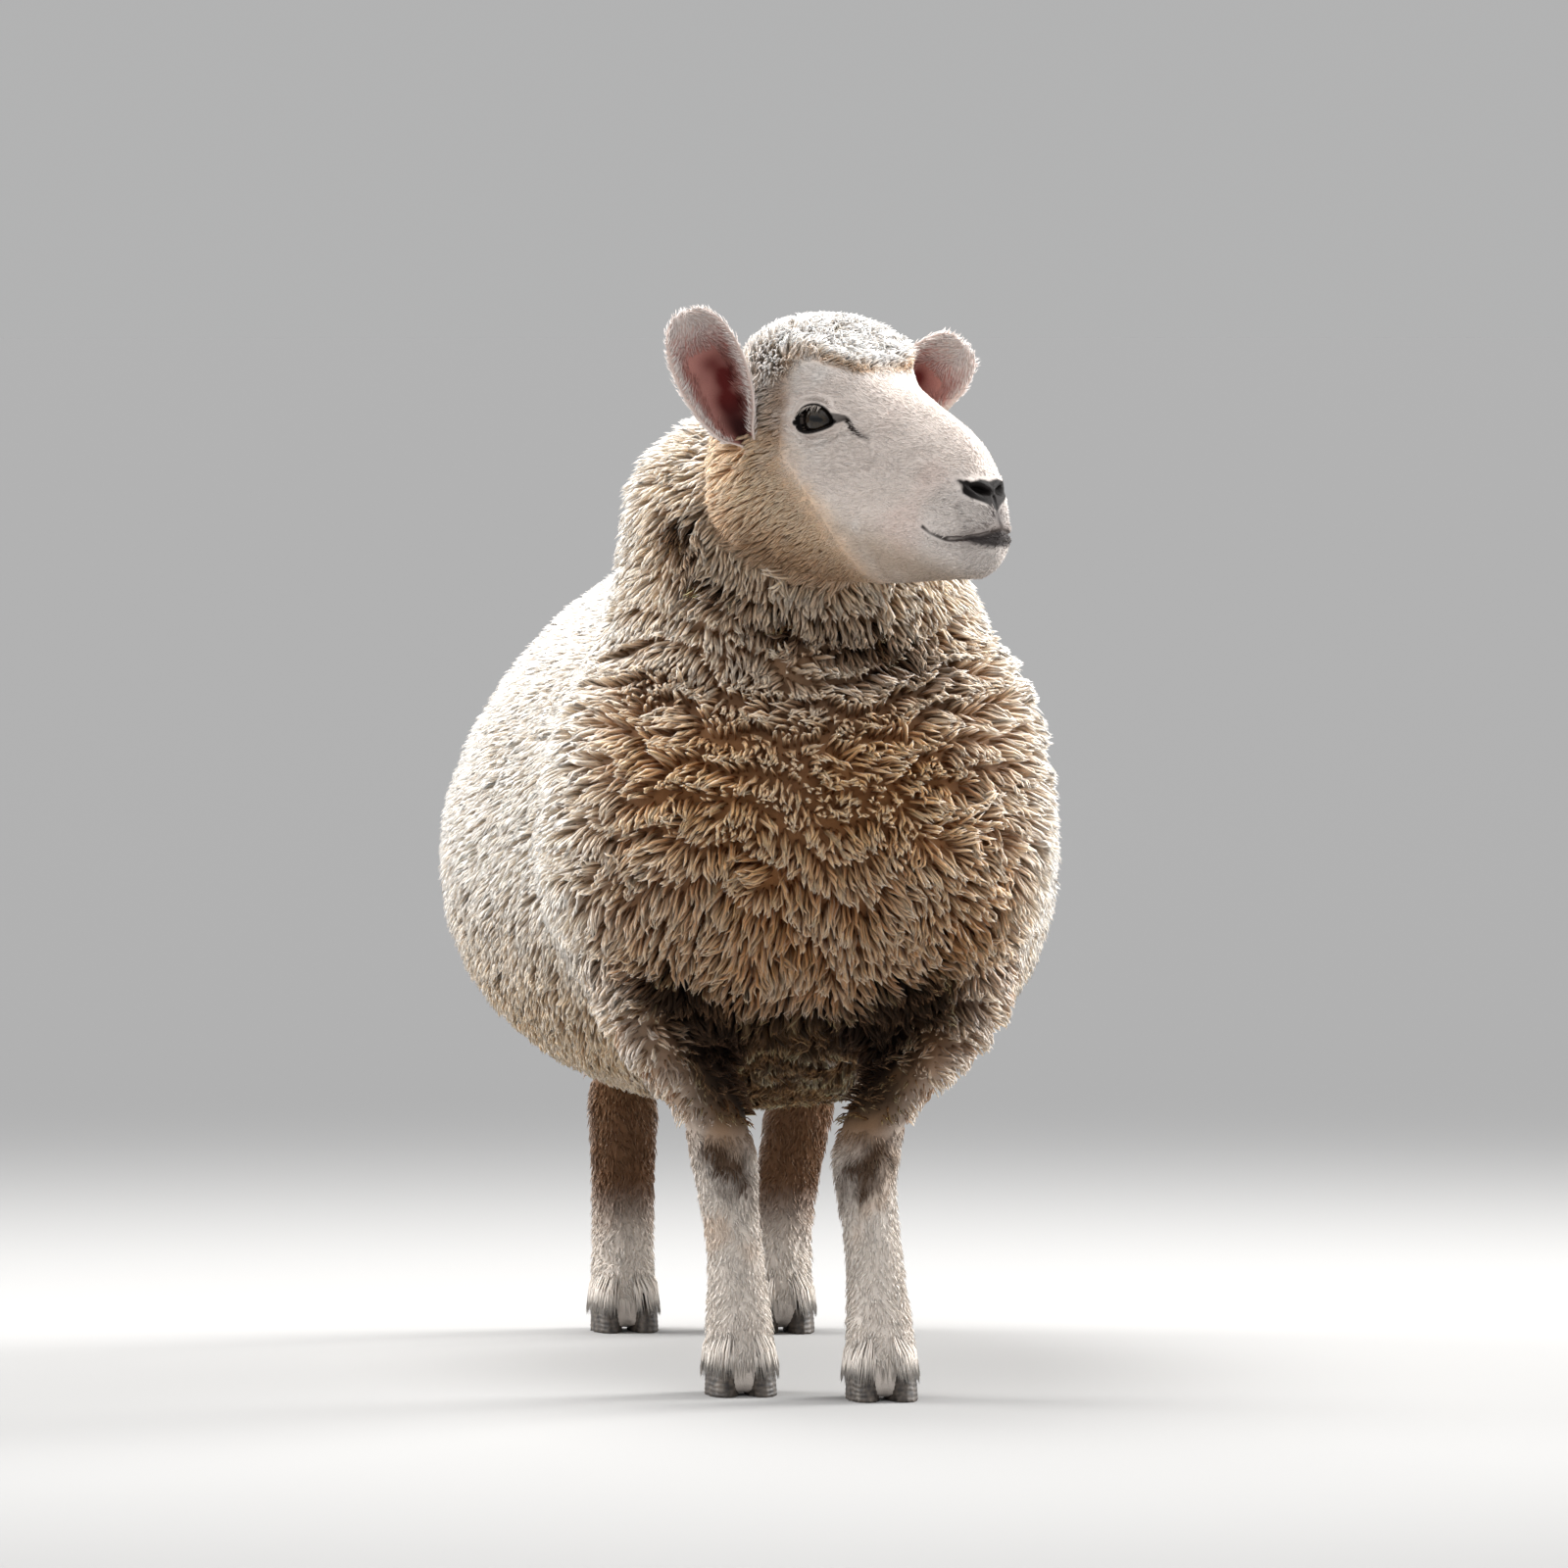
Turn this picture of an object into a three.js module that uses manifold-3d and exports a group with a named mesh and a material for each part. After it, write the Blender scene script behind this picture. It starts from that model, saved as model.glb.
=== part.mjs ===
// A ewe in full fleece, life size, standing square on all four feet with her head turned to her left.
// Millimetres, +Z up. She faces -Y, so her left side is +X. The origin is on the ground, under the
// middle of her whole outline. Every solid reaches the tips of the wool or hair that covers it.
import * as THREE from "three";
import { mergeVertices } from "three/addons/utils/BufferGeometryUtils.js";
import Module from "manifold-3d";

const wasm = await Module();
wasm.setup();

// ---- Driving dimensions -------------------------------------------------------------------------

const GAP = 0.3; // air between neighbours, so that touching parts never overlap

// The trunk, cut across its length. at: place along the body, negative ahead of the middle. half: half
// its width. wide: height of its widest line. top, bottom: heights of the back and the belly. roof:
// how it slopes off from the back, where 2 is an ellipse and less is steeper.
const TRUNK = [
  { at: -450, half: 200, wide: 480, top: 620, bottom: 345, roof: 2.1 },
  { at: -340, half: 214, wide: 476, top: 668, bottom: 312, roof: 2.1 },
  { at: -215, half: 221, wide: 470, top: 704, bottom: 270, roof: 2.1 },
  { at: -70, half: 248, wide: 452, top: 724, bottom: 232, roof: 1.85 },
  { at: 90, half: 275, wide: 444, top: 728, bottom: 216, roof: 1.72 },
  { at: 220, half: 264, wide: 446, top: 728, bottom: 226, roof: 1.7 },
  { at: 340, half: 244, wide: 462, top: 716, bottom: 262, roof: 1.8 },
  { at: 455, half: 210, wide: 486, top: 690, bottom: 320, roof: 1.9 },
];
const TRUNK_KEEL = 2.15; // the same for the belly
const BREAST_ROUND = 150; // length over which the breast closes to a dome
const RUMP_ROUND = 170;

// Wool over the points of the shoulders and over the thighs, and the fold behind each shoulder. She
// leans a little to her right. around: degrees round the body from her left side, up over the back.
const TRUNK_SWELLS = [
  { at: -290, around: -18, rise: 5, along: 80, spread: 42 },
  { at: -290, around: 198, rise: 18, along: 80, spread: 42 },
  { at: -145, around: -20, rise: -8, along: 34, spread: 44 },
  { at: -145, around: 200, rise: -12, along: 34, spread: 44 },
  { at: -275, around: 44, rise: 24, along: 85, spread: 25 },
  { at: -275, around: 136, rise: 16, along: 85, spread: 25 },
  { at: 300, around: -22, rise: 8, along: 105, spread: 38 },
  { at: 300, around: 202, rise: 8, along: 105, spread: 38 },
];

// The neck rises from this point of the trunk, leaning forward. Its sections are cut square to it.
// x: how far the turned head draws it off the middle line, negative to her right.
const NECK_BASE = [0, -205, 560];
const NECK_LEAN = 21; // degrees from upright
const NECK = [
  { at: -70, x: 0, half: 200, ahead: 184, behind: 200 },
  { at: 40, x: 2, half: 192, ahead: 172, behind: 182 },
  { at: 100, x: -1, half: 170, ahead: 156, behind: 150 },
  { at: 160, x: -9, half: 154, ahead: 136, behind: 120 },
  { at: 220, x: -16, half: 143, ahead: 122, behind: 98 },
  { at: 310, x: -24, half: 124, ahead: 104, behind: 84 },
];
const NAPE_ROUND = 92;

// The head is measured from the point midway between her eyes. It turns left and the nose dips.
const HEAD_AT = [26.5, -419, 832];
const HEAD_TURN = 45;
const HEAD_DIP = 20;
// at: distance ahead of the eyes. wide: height of the widest line. top, bottom: brow and jaw lines.
// slant: how far a section's foot runs ahead of its top, for each unit of its height.
const HEAD = [
  { at: -118, half: 85, wide: -30, top: 48, bottom: -128, slant: 0 },
  { at: -80, half: 88, wide: -24, top: 70, bottom: -144, slant: 0 },
  { at: -40, half: 82, wide: -12, top: 79, bottom: -152, slant: 0 },
  { at: -8, half: 68, wide: -6, top: 68, bottom: -148, slant: 0 },
  { at: 20, half: 60, wide: -8, top: 52, bottom: -142, slant: 0.02 },
  { at: 50, half: 52, wide: -18, top: 46, bottom: -130, slant: 0.06 },
  { at: 85, half: 43, wide: -28, top: 41, bottom: -113, slant: 0.14 },
  { at: 122, half: 38, wide: -34, top: 36, bottom: -95, slant: 0.26 },
  { at: 154, half: 36, wide: -37, top: 25, bottom: -79, slant: 0.38 },
  { at: 180, half: 32, wide: -38, top: 9, bottom: -67, slant: 0.48 },
];
const BROW_ROOF = 2.45; // over 2, flatter across than an ellipse
const JAW_KEEL = 2.1;
const POLL_ROUND = 56;
const MUZZLE_ROUND = 34;

// Brow ridges, the eyes' own mounds, the hollows before them, the two sides of the topknot, cheeks,
// nostril wings and the chin.
const HEAD_SWELLS = [0, 180].flatMap((side) => {
  const up = (degrees) => (side ? 180 - degrees : degrees);
  return [
    { at: -6, around: up(36), rise: 5, along: 24, spread: 17 },
    { at: -2, around: up(4), rise: 4, along: 24, spread: 22 },
    { at: 34, around: up(2), rise: -4, along: 18, spread: 18 },
    { at: -44, around: up(38), rise: 15, along: 44, spread: 23 },
    { at: -44, around: up(-36), rise: 8, along: 36, spread: 24 },
    { at: 165, around: up(28), rise: 3, along: 14, spread: 20 },
  ];
}).concat([{ at: 160, around: 270, rise: 4, along: 15, spread: 45 }]);

const EYE_RADIUS = 17;
const EYE_OUT = 53; // from the middle of the head to an eye's centre
const EYE_AHEAD = 5;
const EYE_UP = 3;

// The ears: a leaf with its edges curled forward, rolled into a funnel at the root. tip: the way that
// the leaf points. opens: the way that its bowl faces. Both are outward, back and up from the head.
const EAR_LENGTH = 119;
const EAR_HALF = 37; // half the leaf's breadth, measured round its curve
const EAR_THICK = 6;
const EAR_CURL_ROOT = 120; // degrees from the leaf's middle line to its edge
const EAR_CURL_TIP = 32;
const EAR_ROOT = [84, 50, -36];
const EARS = [
  { name: "ear_right", side: -1, tip: [0.4, 0.46, 0.79], opens: [0.76, -0.6, 0.24] },
  { name: "ear_left", side: 1, tip: [0.52, -0.3, 0.85], opens: [-0.72, -0.66, 0.2] },
];

// The legs, cut level. at: height above the ground. out: from the body's middle line. y: place along
// the body. half: half the width. ahead, behind: from the section's centre to its front and back.
const FORELEG = [
  { at: 410, out: 132, y: -276, half: 68, ahead: 68, behind: 68 },
  { at: 335, out: 124, y: -280, half: 64, ahead: 63, behind: 62 },
  { at: 280, out: 100, y: -287, half: 51, ahead: 50, behind: 49 },
  { at: 240, out: 71, y: -293, half: 39, ahead: 38, behind: 37 },
  { at: 204, out: 60, y: -298, half: 31.5, ahead: 31, behind: 28 },
  { at: 160, out: 58, y: -298, half: 27, ahead: 25, behind: 26 },
  { at: 115, out: 57, y: -297, half: 26, ahead: 24, behind: 26 },
  { at: 80, out: 57, y: -298, half: 28.5, ahead: 27, behind: 32 },
  { at: 50, out: 57, y: -304, half: 31, ahead: 30, behind: 30 },
  { at: 20, out: 57, y: -311, half: 33.5, ahead: 34, behind: 30 },
];
const HINDLEG = [
  { at: 430, out: 122, y: 296, half: 76, ahead: 104, behind: 98 },
  { at: 350, out: 108, y: 326, half: 60, ahead: 76, behind: 72 },
  { at: 290, out: 92, y: 364, half: 44, ahead: 48, behind: 43 },
  { at: 250, out: 84, y: 386, half: 37, ahead: 37, behind: 35 },
  { at: 200, out: 79, y: 385, half: 34, ahead: 30, behind: 29 },
  { at: 140, out: 77, y: 378, half: 31, ahead: 25, behind: 26 },
  { at: 85, out: 76, y: 370, half: 30, ahead: 27, behind: 32 },
  { at: 52, out: 76, y: 361, half: 30.5, ahead: 30, behind: 30 },
  { at: 20, out: 76, y: 352, half: 32.5, ahead: 34, behind: 30 },
];
// She stands a little off square. step: how far a foot is moved forward. slide: how far to her left.
// knee: how far its knee or hock is moved to her left.
const LEGS = [
  { name: "foreleg_right", side: -1, sections: FORELEG, step: -12, slide: 0, knee: -11 },
  { name: "foreleg_left", side: 1, sections: FORELEG, step: 50, slide: -1, knee: -12 },
  { name: "hindleg_right", side: -1, sections: HINDLEG, step: -4, slide: -9, knee: 0 },
  { name: "hindleg_left", side: 1, sections: HINDLEG, step: 24, slide: -22, knee: 8 },
];
const LEG_BEND_TOP = 350; // above this height a leg keeps its place when the foot steps
const KNEE_HEIGHT = 205;
const KNEE_SPAN = 75;

// Each foot stands on two claws, side by side. at: height above the ground.
const CLAW = [
  { at: 0, half: 14.5, ahead: 40, behind: 24, y: 0 },
  { at: 14, half: 14, ahead: 36, behind: 23, y: 1 },
  { at: 36, half: 11, ahead: 23, behind: 17, y: 4 },
];
const CLAW_APART = 16.5; // from the foot's middle to a claw's middle
const CLEFT = { around: 90, rise: -7, at: 24, along: 22, spread: 14 };

// The docked tail hangs against the rump.
const TAIL = [
  { at: 655, y: 398, half: 42, ahead: 40, behind: 26 },
  { at: 590, y: 434, half: 45, ahead: 40, behind: 27 },
  { at: 520, y: 458, half: 43, ahead: 36, behind: 26 },
  { at: 440, y: 464, half: 36, ahead: 28, behind: 22 },
];
const TAIL_ROUND = 34;

// ---- Shapes -------------------------------------------------------------------------------------

const rad = THREE.MathUtils.degToRad;

// A smooth reading of a table of sections at any place along it.
function sectionsOf(table) {
  const keys = Object.keys(table[0]).filter((key) => key !== "at");
  const rows = table[0].at < table[table.length - 1].at ? table : [...table].reverse();
  const places = rows.map((row) => row.at);
  const values = rows.flatMap((row) => keys.map((key) => row[key]));
  const reader = new THREE.CubicInterpolant(places, values, keys.length);
  return (at) => {
    const inside = THREE.MathUtils.clamp(at, places[0], places[places.length - 1]);
    const found = reader.evaluate(inside);
    return Object.fromEntries(keys.map((key, i) => [key, found[i]]));
  };
}

// Places for a row of rings, with how far each has closed towards a dome at either end.
function ringPlaces(first, last, count, roundFirst, roundLast) {
  const way = Math.sign(last - first);
  const length = Math.abs(last - first);
  const arc = Math.PI / 2;
  const walk = roundFirst * arc + (length - roundFirst - roundLast) + roundLast * arc;
  return Array.from({ length: count }, (_, i) => {
    const gone = (walk * (i + (roundFirst ? 0.5 : 0))) /
      (count - 1 + (roundFirst ? 0.5 : 0) + (roundLast ? 0.5 : 0));
    const left = walk - gone;
    if (gone < roundFirst * arc) {
      const turn = gone / roundFirst;
      return { at: first + way * roundFirst * (1 - Math.cos(turn)), open: Math.sin(turn) };
    }
    if (left < roundLast * arc) {
      const turn = left / roundLast;
      return { at: last - way * roundLast * (1 - Math.cos(turn)), open: Math.sin(turn) };
    }
    return { at: first + way * (gone - roundFirst * arc + roundFirst), open: 1 };
  });
}

// How far the swells lift the surface at a place and a direction round it.
function swellAt(swells, at, around) {
  return swells.reduce((sum, swell) => {
    const apart = THREE.MathUtils.euclideanModulo(around - swell.around + 180, 360) - 180;
    const reach = ((at - swell.at) / swell.along) ** 2 + (apart / swell.spread) ** 2;
    return sum + swell.rise * Math.exp(-reach);
  }, 0);
}

// A closed mesh over rings of points: each ring joins the next, and a point closes each end.
function skinOver(rings, firstPole, lastPole) {
  const sides = rings[0].length;
  const points = [...rings.flat(), firstPole, lastPole];
  const faces = [];
  for (let r = 0; r + 1 < rings.length; r += 1) {
    for (let s = 0; s < sides; s += 1) {
      const a = r * sides + s;
      const b = r * sides + ((s + 1) % sides);
      faces.push(a, b, b + sides, a, b + sides, a + sides);
    }
  }
  const lastRing = (rings.length - 1) * sides;
  for (let s = 0; s < sides; s += 1) {
    const next = (s + 1) % sides;
    faces.push(points.length - 2, next, s);
    faces.push(points.length - 1, lastRing + s, lastRing + next);
  }
  return facingOut(points, faces);
}

function facingOut(points, faces) {
  const volume = faces.reduce((sum, _, i) => {
    if (i % 3) return sum;
    const [a, b, c] = [points[faces[i]], points[faces[i + 1]], points[faces[i + 2]]];
    return sum + a.dot(new THREE.Vector3().crossVectors(b, c));
  }, 0);
  if (volume < 0) faces.reverse();
  return new THREE.BufferGeometry()
    .setFromPoints(points)
    .setIndex(faces);
}

// A point of a rounded section at an angle: power 2 gives an ellipse, more a fuller form.
function roundAt(turn, power) {
  const soften = (value) => Math.sign(value) * Math.abs(value) ** (2 / power);
  return [soften(Math.cos(turn)), soften(Math.sin(turn))];
}

// A form swept through parallel rings. axes are its ways along, left and up. ringAt says, for a
// section of the table, where its centre is, how far it reaches left, right, up and down, and the
// powers that shape its upper and its lower half. grow makes the whole form larger all round.
function sweep({
  table, count, sides, axes, ringAt, round = [0, 0], swells = [], grow = 0,
}) {
  const read = sectionsOf(table);
  const [first, last] = [table[0].at, table[table.length - 1].at];
  const way = Math.sign(last - first);
  const [along, left, up] = axes.map((axis) => new THREE.Vector3(...axis));
  const point = (at, across, height) => new THREE.Vector3()
    .addScaledVector(along, at)
    .addScaledVector(left, across)
    .addScaledVector(up, height);
  const rings = ringPlaces(first, last, count, ...round).map(({ at, open }) => {
    const size = ringAt(read(at));
    return Array.from({ length: sides }, (_, s) => {
      const turn = (2 * Math.PI * s) / sides;
      const [across, height] = roundAt(turn, turn > Math.PI ? size.keel : size.roof);
      const lift = swellAt(swells, at, THREE.MathUtils.radToDeg(turn)) * open + grow;
      const reachAcross = (across > 0 ? size.left : size.right) * open + lift;
      const reachUp = (height > 0 ? size.up : size.down) * open + lift;
      const raised = height * reachUp;
      return point(at - size.slant * raised, size.x + across * reachAcross, size.z + raised);
    });
  });
  const pole = (end, dome) => {
    const size = ringAt(read(end));
    return point(end + (end === first ? -way : way) * (dome ? grow : 0), size.x, size.z);
  };
  return skinOver(rings, pole(first, round[0]), pole(last, round[1]));
}

// Sections of the trunk and the head are given by their widest line, top and bottom.
const uprightRing = (keel, fixedRoof) => ({ half, wide, top, bottom, roof = fixedRoof, slant = 0 }) => (
  { x: 0, z: wide, left: half, right: half, up: top - wide, down: wide - bottom, roof, keel, slant });

// Sections of the legs, the neck and the tail are given by their centre and their reach from it.
const levelRing = ({ x = 0, y = 0, half, ahead, behind }) => (
  { x, z: -y, left: half, right: half, up: ahead, down: behind, roof: 2, keel: 2, slant: 0 });

const BODY_AXES = [[0, 1, 0], [1, 0, 0], [0, 0, 1]];
const HEAD_AXES = [[0, -1, 0], [1, 0, 0], [0, 0, 1]];
const LEVEL_AXES = [[0, 0, 1], [1, 0, 0], [0, -1, 0]];

const trunkShape = (grow = 0) => sweep({
  table: TRUNK, count: 25, sides: 28, axes: BODY_AXES, ringAt: uprightRing(TRUNK_KEEL),
  round: [BREAST_ROUND, RUMP_ROUND], swells: TRUNK_SWELLS, grow,
});

const neckShape = (grow = 0) => sweep({
  table: NECK, count: 12, sides: 24, axes: LEVEL_AXES, ringAt: levelRing,
  round: [0, NAPE_ROUND], grow,
});

const headShape = (grow = 0) => sweep({
  table: HEAD, count: 28, sides: 28, axes: HEAD_AXES, ringAt: uprightRing(JAW_KEEL, BROW_ROOF),
  round: [POLL_ROUND, MUZZLE_ROUND], swells: HEAD_SWELLS, grow,
});

const tailShape = () => sweep({
  table: TAIL, count: 10, sides: 12, axes: LEVEL_AXES, ringAt: levelRing,
  round: [0, TAIL_ROUND],
});

// A leg's table with its foot and its knee moved: the higher the section, the less it follows them.
function legTable({ side, sections, step, slide, knee }) {
  const reach = LEG_BEND_TOP - sections[sections.length - 1].at;
  return sections.map(({ at, out, y, half, ahead, behind }) => {
    const follow = THREE.MathUtils.smoothstep(LEG_BEND_TOP - at, 0, reach);
    const bend = Math.exp(-(((at - KNEE_HEIGHT) / KNEE_SPAN) ** 2));
    return { at, x: side * out + slide * follow + knee * bend, y: y - step * follow, half, ahead, behind };
  });
}

const legShape = (leg) => sweep({
  table: legTable(leg), count: 17, sides: 14, axes: LEVEL_AXES, ringAt: levelRing,
  swells: [CLEFT],
});

const clawShape = (grow = 0) => sweep({
  table: CLAW, count: 3, sides: 12, axes: LEVEL_AXES, ringAt: levelRing, grow,
});

// A closed mesh over two like sheets of points that face away from each other, joined round the edge.
function leafOver(front, back) {
  const rows = front.length;
  const columns = front[0].length;
  const at = (sheet, r, c) => (sheet * rows + r) * columns + c;
  const faces = [];
  const quad = (a, b, c, d) => faces.push(a, b, c, a, c, d);
  for (let r = 0; r + 1 < rows; r += 1) {
    for (let c = 0; c + 1 < columns; c += 1) {
      quad(at(0, r, c), at(0, r, c + 1), at(0, r + 1, c + 1), at(0, r + 1, c));
      quad(at(1, r, c), at(1, r + 1, c), at(1, r + 1, c + 1), at(1, r, c + 1));
    }
    quad(at(0, r, 0), at(0, r + 1, 0), at(1, r + 1, 0), at(1, r, 0));
    const c = columns - 1;
    quad(at(0, r, c), at(1, r, c), at(1, r + 1, c), at(0, r + 1, c));
  }
  for (let c = 0; c + 1 < columns; c += 1) {
    quad(at(0, 0, c), at(1, 0, c), at(1, 0, c + 1), at(0, 0, c + 1));
    const r = rows - 1;
    quad(at(0, r, c), at(0, r, c + 1), at(1, r, c + 1), at(1, r, c));
  }
  return facingOut([...front.flat(), ...back.flat()], faces);
}

// The ear's leaf stands along +Z with its bowl open towards -Y.
function earShape() {
  const rows = 11;
  const columns = 9;
  const sheet = (depth) => Array.from({ length: rows }, (_, r) => {
    const up = (r / (rows - 1)) ** 0.9;
    const breadth = EAR_HALF * Math.max(1 - ((up - 0.5) / 0.52) ** 2, 0) ** 0.38;
    const curl = THREE.MathUtils.lerp(EAR_CURL_ROOT, EAR_CURL_TIP, Math.sqrt(up));
    const bend = Math.max(breadth, EAR_THICK) / rad(curl);
    return Array.from({ length: columns }, (_, c) => {
      const turn = rad(curl) * ((2 * c) / (columns - 1) - 1);
      const edge = 1 - 0.5 * Math.abs((2 * c) / (columns - 1) - 1) ** 4;
      const reach = bend + (0.5 - depth) * EAR_THICK * edge;
      return new THREE.Vector3(
        Math.sin(turn) * reach,
        Math.cos(turn) * reach - bend,
        up * EAR_LENGTH,
      );
    });
  });
  return leafOver(sheet(0), sheet(1));
}

// ---- Cutting one mesh by another ----------------------------------------------------------------

function solidOf(geometry) {
  const bare = geometry.clone();
  bare.deleteAttribute("normal");
  bare.deleteAttribute("uv");
  const merged = mergeVertices(bare, 1e-3);
  return new wasm.Manifold(new wasm.Mesh({
    numProp: 3,
    vertProperties: merged.attributes.position.array,
    triVerts: new Uint32Array(merged.index.array),
  }));
}

function geometryOf(solid) {
  const found = solid.decompose().sort((a, b) => b.volume() - a.volume())[0].getMesh();
  return new THREE.BufferGeometry()
    .setAttribute("position", new THREE.BufferAttribute(new Float32Array(found.vertProperties), 3))
    .setIndex(new THREE.BufferAttribute(new Uint32Array(found.triVerts), 1));
}

// Cuts tool's shape, where tool stands, out of mesh, where mesh stands, and keeps the largest piece.
function carve(mesh, tool) {
  const across = mesh.matrixWorld.clone().invert().multiply(tool.matrixWorld);
  const cutter = solidOf(tool.geometry.clone().applyMatrix4(across));
  mesh.geometry = geometryOf(solidOf(mesh.geometry).subtract(cutter));
}

// ---- Materials ----------------------------------------------------------------------------------

const matte = (color, roughness) =>
  new THREE.MeshStandardMaterial({ color, roughness, metalness: 0 });
const FLEECE = matte(0xdcc9ae, 0.95);
const FACE_HAIR = matte(0xe8e2da, 0.85);
const LEG_HAIR = matte(0xddd2c2, 0.9);
const EAR_SKIN = matte(0xd9b3a4, 0.8);
const HORN = matte(0x2c2826, 0.5);
const EYE = matte(0x1c1512, 0.1);

// ---- Assembly -----------------------------------------------------------------------------------

function meshOf(name, geometry, material) {
  const mesh = new THREE.Mesh(geometry, material);
  mesh.name = name;
  return mesh;
}

// A second mesh in the same place, a gap larger, for cutting a neighbour back from it.
function cutterLike(mesh, geometry) {
  const cutter = new THREE.Mesh(geometry);
  cutter.matrixWorld.copy(mesh.matrixWorld);
  return cutter;
}

const ewe = new THREE.Group();

const trunk = meshOf("trunk", trunkShape(), FLEECE);
const tail = meshOf("tail", tailShape(), FLEECE);
const neck = meshOf("neck", neckShape(), FLEECE);
neck.position.set(...NECK_BASE);
neck.rotation.x = rad(NECK_LEAN);
ewe.add(trunk, tail, neck);

const headGroup = new THREE.Group();
headGroup.position.set(...HEAD_AT);
headGroup.rotation.set(rad(HEAD_DIP), 0, rad(HEAD_TURN), "ZXY");
const head = meshOf("head", headShape(), FACE_HAIR);
headGroup.add(head);
ewe.add(headGroup);

const eyeBall = (grow = 0) => new THREE.SphereGeometry(EYE_RADIUS + grow, 14, 10);
const eyes = [["eye_right", -1], ["eye_left", 1]].map(([name, side]) => {
  const eye = meshOf(name, eyeBall(), EYE);
  eye.position.set(side * EYE_OUT, -EYE_AHEAD, EYE_UP);
  headGroup.add(eye);
  return eye;
});

const ears = EARS.map(({ name, side, tip, opens }) => {
  const ear = meshOf(name, earShape(), EAR_SKIN);
  const long = new THREE.Vector3(side * tip[0], tip[1], tip[2]).normalize();
  const bowl = new THREE.Vector3(side * opens[0], opens[1], opens[2]);
  bowl.addScaledVector(long, -bowl.dot(long)).normalize();
  const backwards = bowl.clone().negate();
  const wide = new THREE.Vector3().crossVectors(backwards, long);
  ear.quaternion.setFromRotationMatrix(new THREE.Matrix4().makeBasis(wide, backwards, long));
  ear.position.set(side * EAR_ROOT[0], EAR_ROOT[1], EAR_ROOT[2]);
  headGroup.add(ear);
  return ear;
});

const legs = LEGS.map((leg) => {
  const mesh = meshOf(leg.name, legShape(leg), LEG_HAIR);
  const foot = legTable(leg)[leg.sections.length - 1];
  const claws = [["inner", -leg.side], ["outer", leg.side]].map(([which, way]) => {
    const claw = meshOf(`${leg.name}_${which}_claw`, clawShape(), HORN);
    claw.position.set(foot.x + way * CLAW_APART, foot.y, 0);
    return claw;
  });
  ewe.add(mesh, ...claws);
  return { mesh, claws };
});

// Each neighbour is cut back from the one that it grows out of.
ewe.updateMatrixWorld(true);
const trunkCutter = cutterLike(trunk, trunkShape(GAP));
const headCutter = cutterLike(head, headShape(GAP));
carve(neck, trunkCutter);
carve(neck, headCutter);
carve(tail, trunkCutter);
eyes.forEach((eye) => carve(head, cutterLike(eye, eyeBall(GAP))));
const neckCutter = cutterLike(neck, neckShape(GAP));
ears.forEach((ear) => {
  carve(ear, headCutter);
  carve(ear, neckCutter);
});
legs.forEach(({ mesh, claws }) => {
  carve(mesh, trunkCutter);
  claws.forEach((claw) => carve(mesh, cutterLike(claw, clawShape(GAP))));
});

// The origin goes under the middle of the whole outline, on the ground.
const outline = new THREE.Box3().setFromObject(ewe, true);
const middle = outline.getCenter(new THREE.Vector3());
ewe.position.set(-middle.x, -middle.y, 0);

export default ewe;
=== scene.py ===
import math

import bpy
import numpy as np
from mathutils.bvhtree import BVHTree
from mathutils.kdtree import KDTree
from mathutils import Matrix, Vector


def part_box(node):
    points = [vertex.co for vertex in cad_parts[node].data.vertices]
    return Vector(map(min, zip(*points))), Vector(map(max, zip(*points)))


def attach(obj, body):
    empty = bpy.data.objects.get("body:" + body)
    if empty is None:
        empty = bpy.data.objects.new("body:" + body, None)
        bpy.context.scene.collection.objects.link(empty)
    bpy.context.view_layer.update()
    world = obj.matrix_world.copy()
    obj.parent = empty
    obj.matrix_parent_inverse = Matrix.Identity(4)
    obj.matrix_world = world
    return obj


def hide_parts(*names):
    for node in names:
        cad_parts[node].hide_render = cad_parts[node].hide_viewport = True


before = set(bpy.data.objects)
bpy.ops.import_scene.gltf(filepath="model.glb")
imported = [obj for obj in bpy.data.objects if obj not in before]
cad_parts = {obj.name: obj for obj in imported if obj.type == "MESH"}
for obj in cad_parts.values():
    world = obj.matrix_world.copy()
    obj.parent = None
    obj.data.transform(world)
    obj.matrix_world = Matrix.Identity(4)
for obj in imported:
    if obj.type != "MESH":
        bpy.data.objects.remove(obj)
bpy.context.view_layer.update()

# A woolly white-faced ewe, standing with her head turned to her left. One skin carries the whole body,
# ears and all. Her coat is locks of solid mesh that grow out of it. Metres, +Z up; she faces -Y.

MM = 0.001
FLESH = ("trunk", "tail", "neck", "head", "ear_right", "ear_left",
         "foreleg_right", "foreleg_left", "hindleg_right", "hindleg_left")
LEGS = ("foreleg_right", "foreleg_left", "hindleg_right", "hindleg_left")
CLAWS = tuple(f"{leg}_{side}_claw" for leg in LEGS for side in ("inner", "outer"))
DENSITY = 1.0


# ---- Camera, floor and lights ---------------------------------------------------------------------

CAMERA_AT = (-1.2942, -10.6528, 0.9375)
CAMERA_LEFT = math.radians(7.0)
CAMERA_DOWN = math.radians(2.2833)
LENS = 282.15
SENSOR = 36.0
FLOOR_HALF = 250.0


def add_camera():
    data = bpy.data.cameras.new("camera")
    data.lens = LENS
    data.sensor_width = SENSOR
    data.clip_end = 2.4 * FLOOR_HALF
    camera = bpy.data.objects.new("camera", data)
    camera.location = CAMERA_AT
    camera.rotation_euler = (math.pi / 2 - CAMERA_DOWN, 0.0, -CAMERA_LEFT)
    bpy.context.scene.collection.objects.link(camera)
    bpy.context.scene.camera = camera


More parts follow.
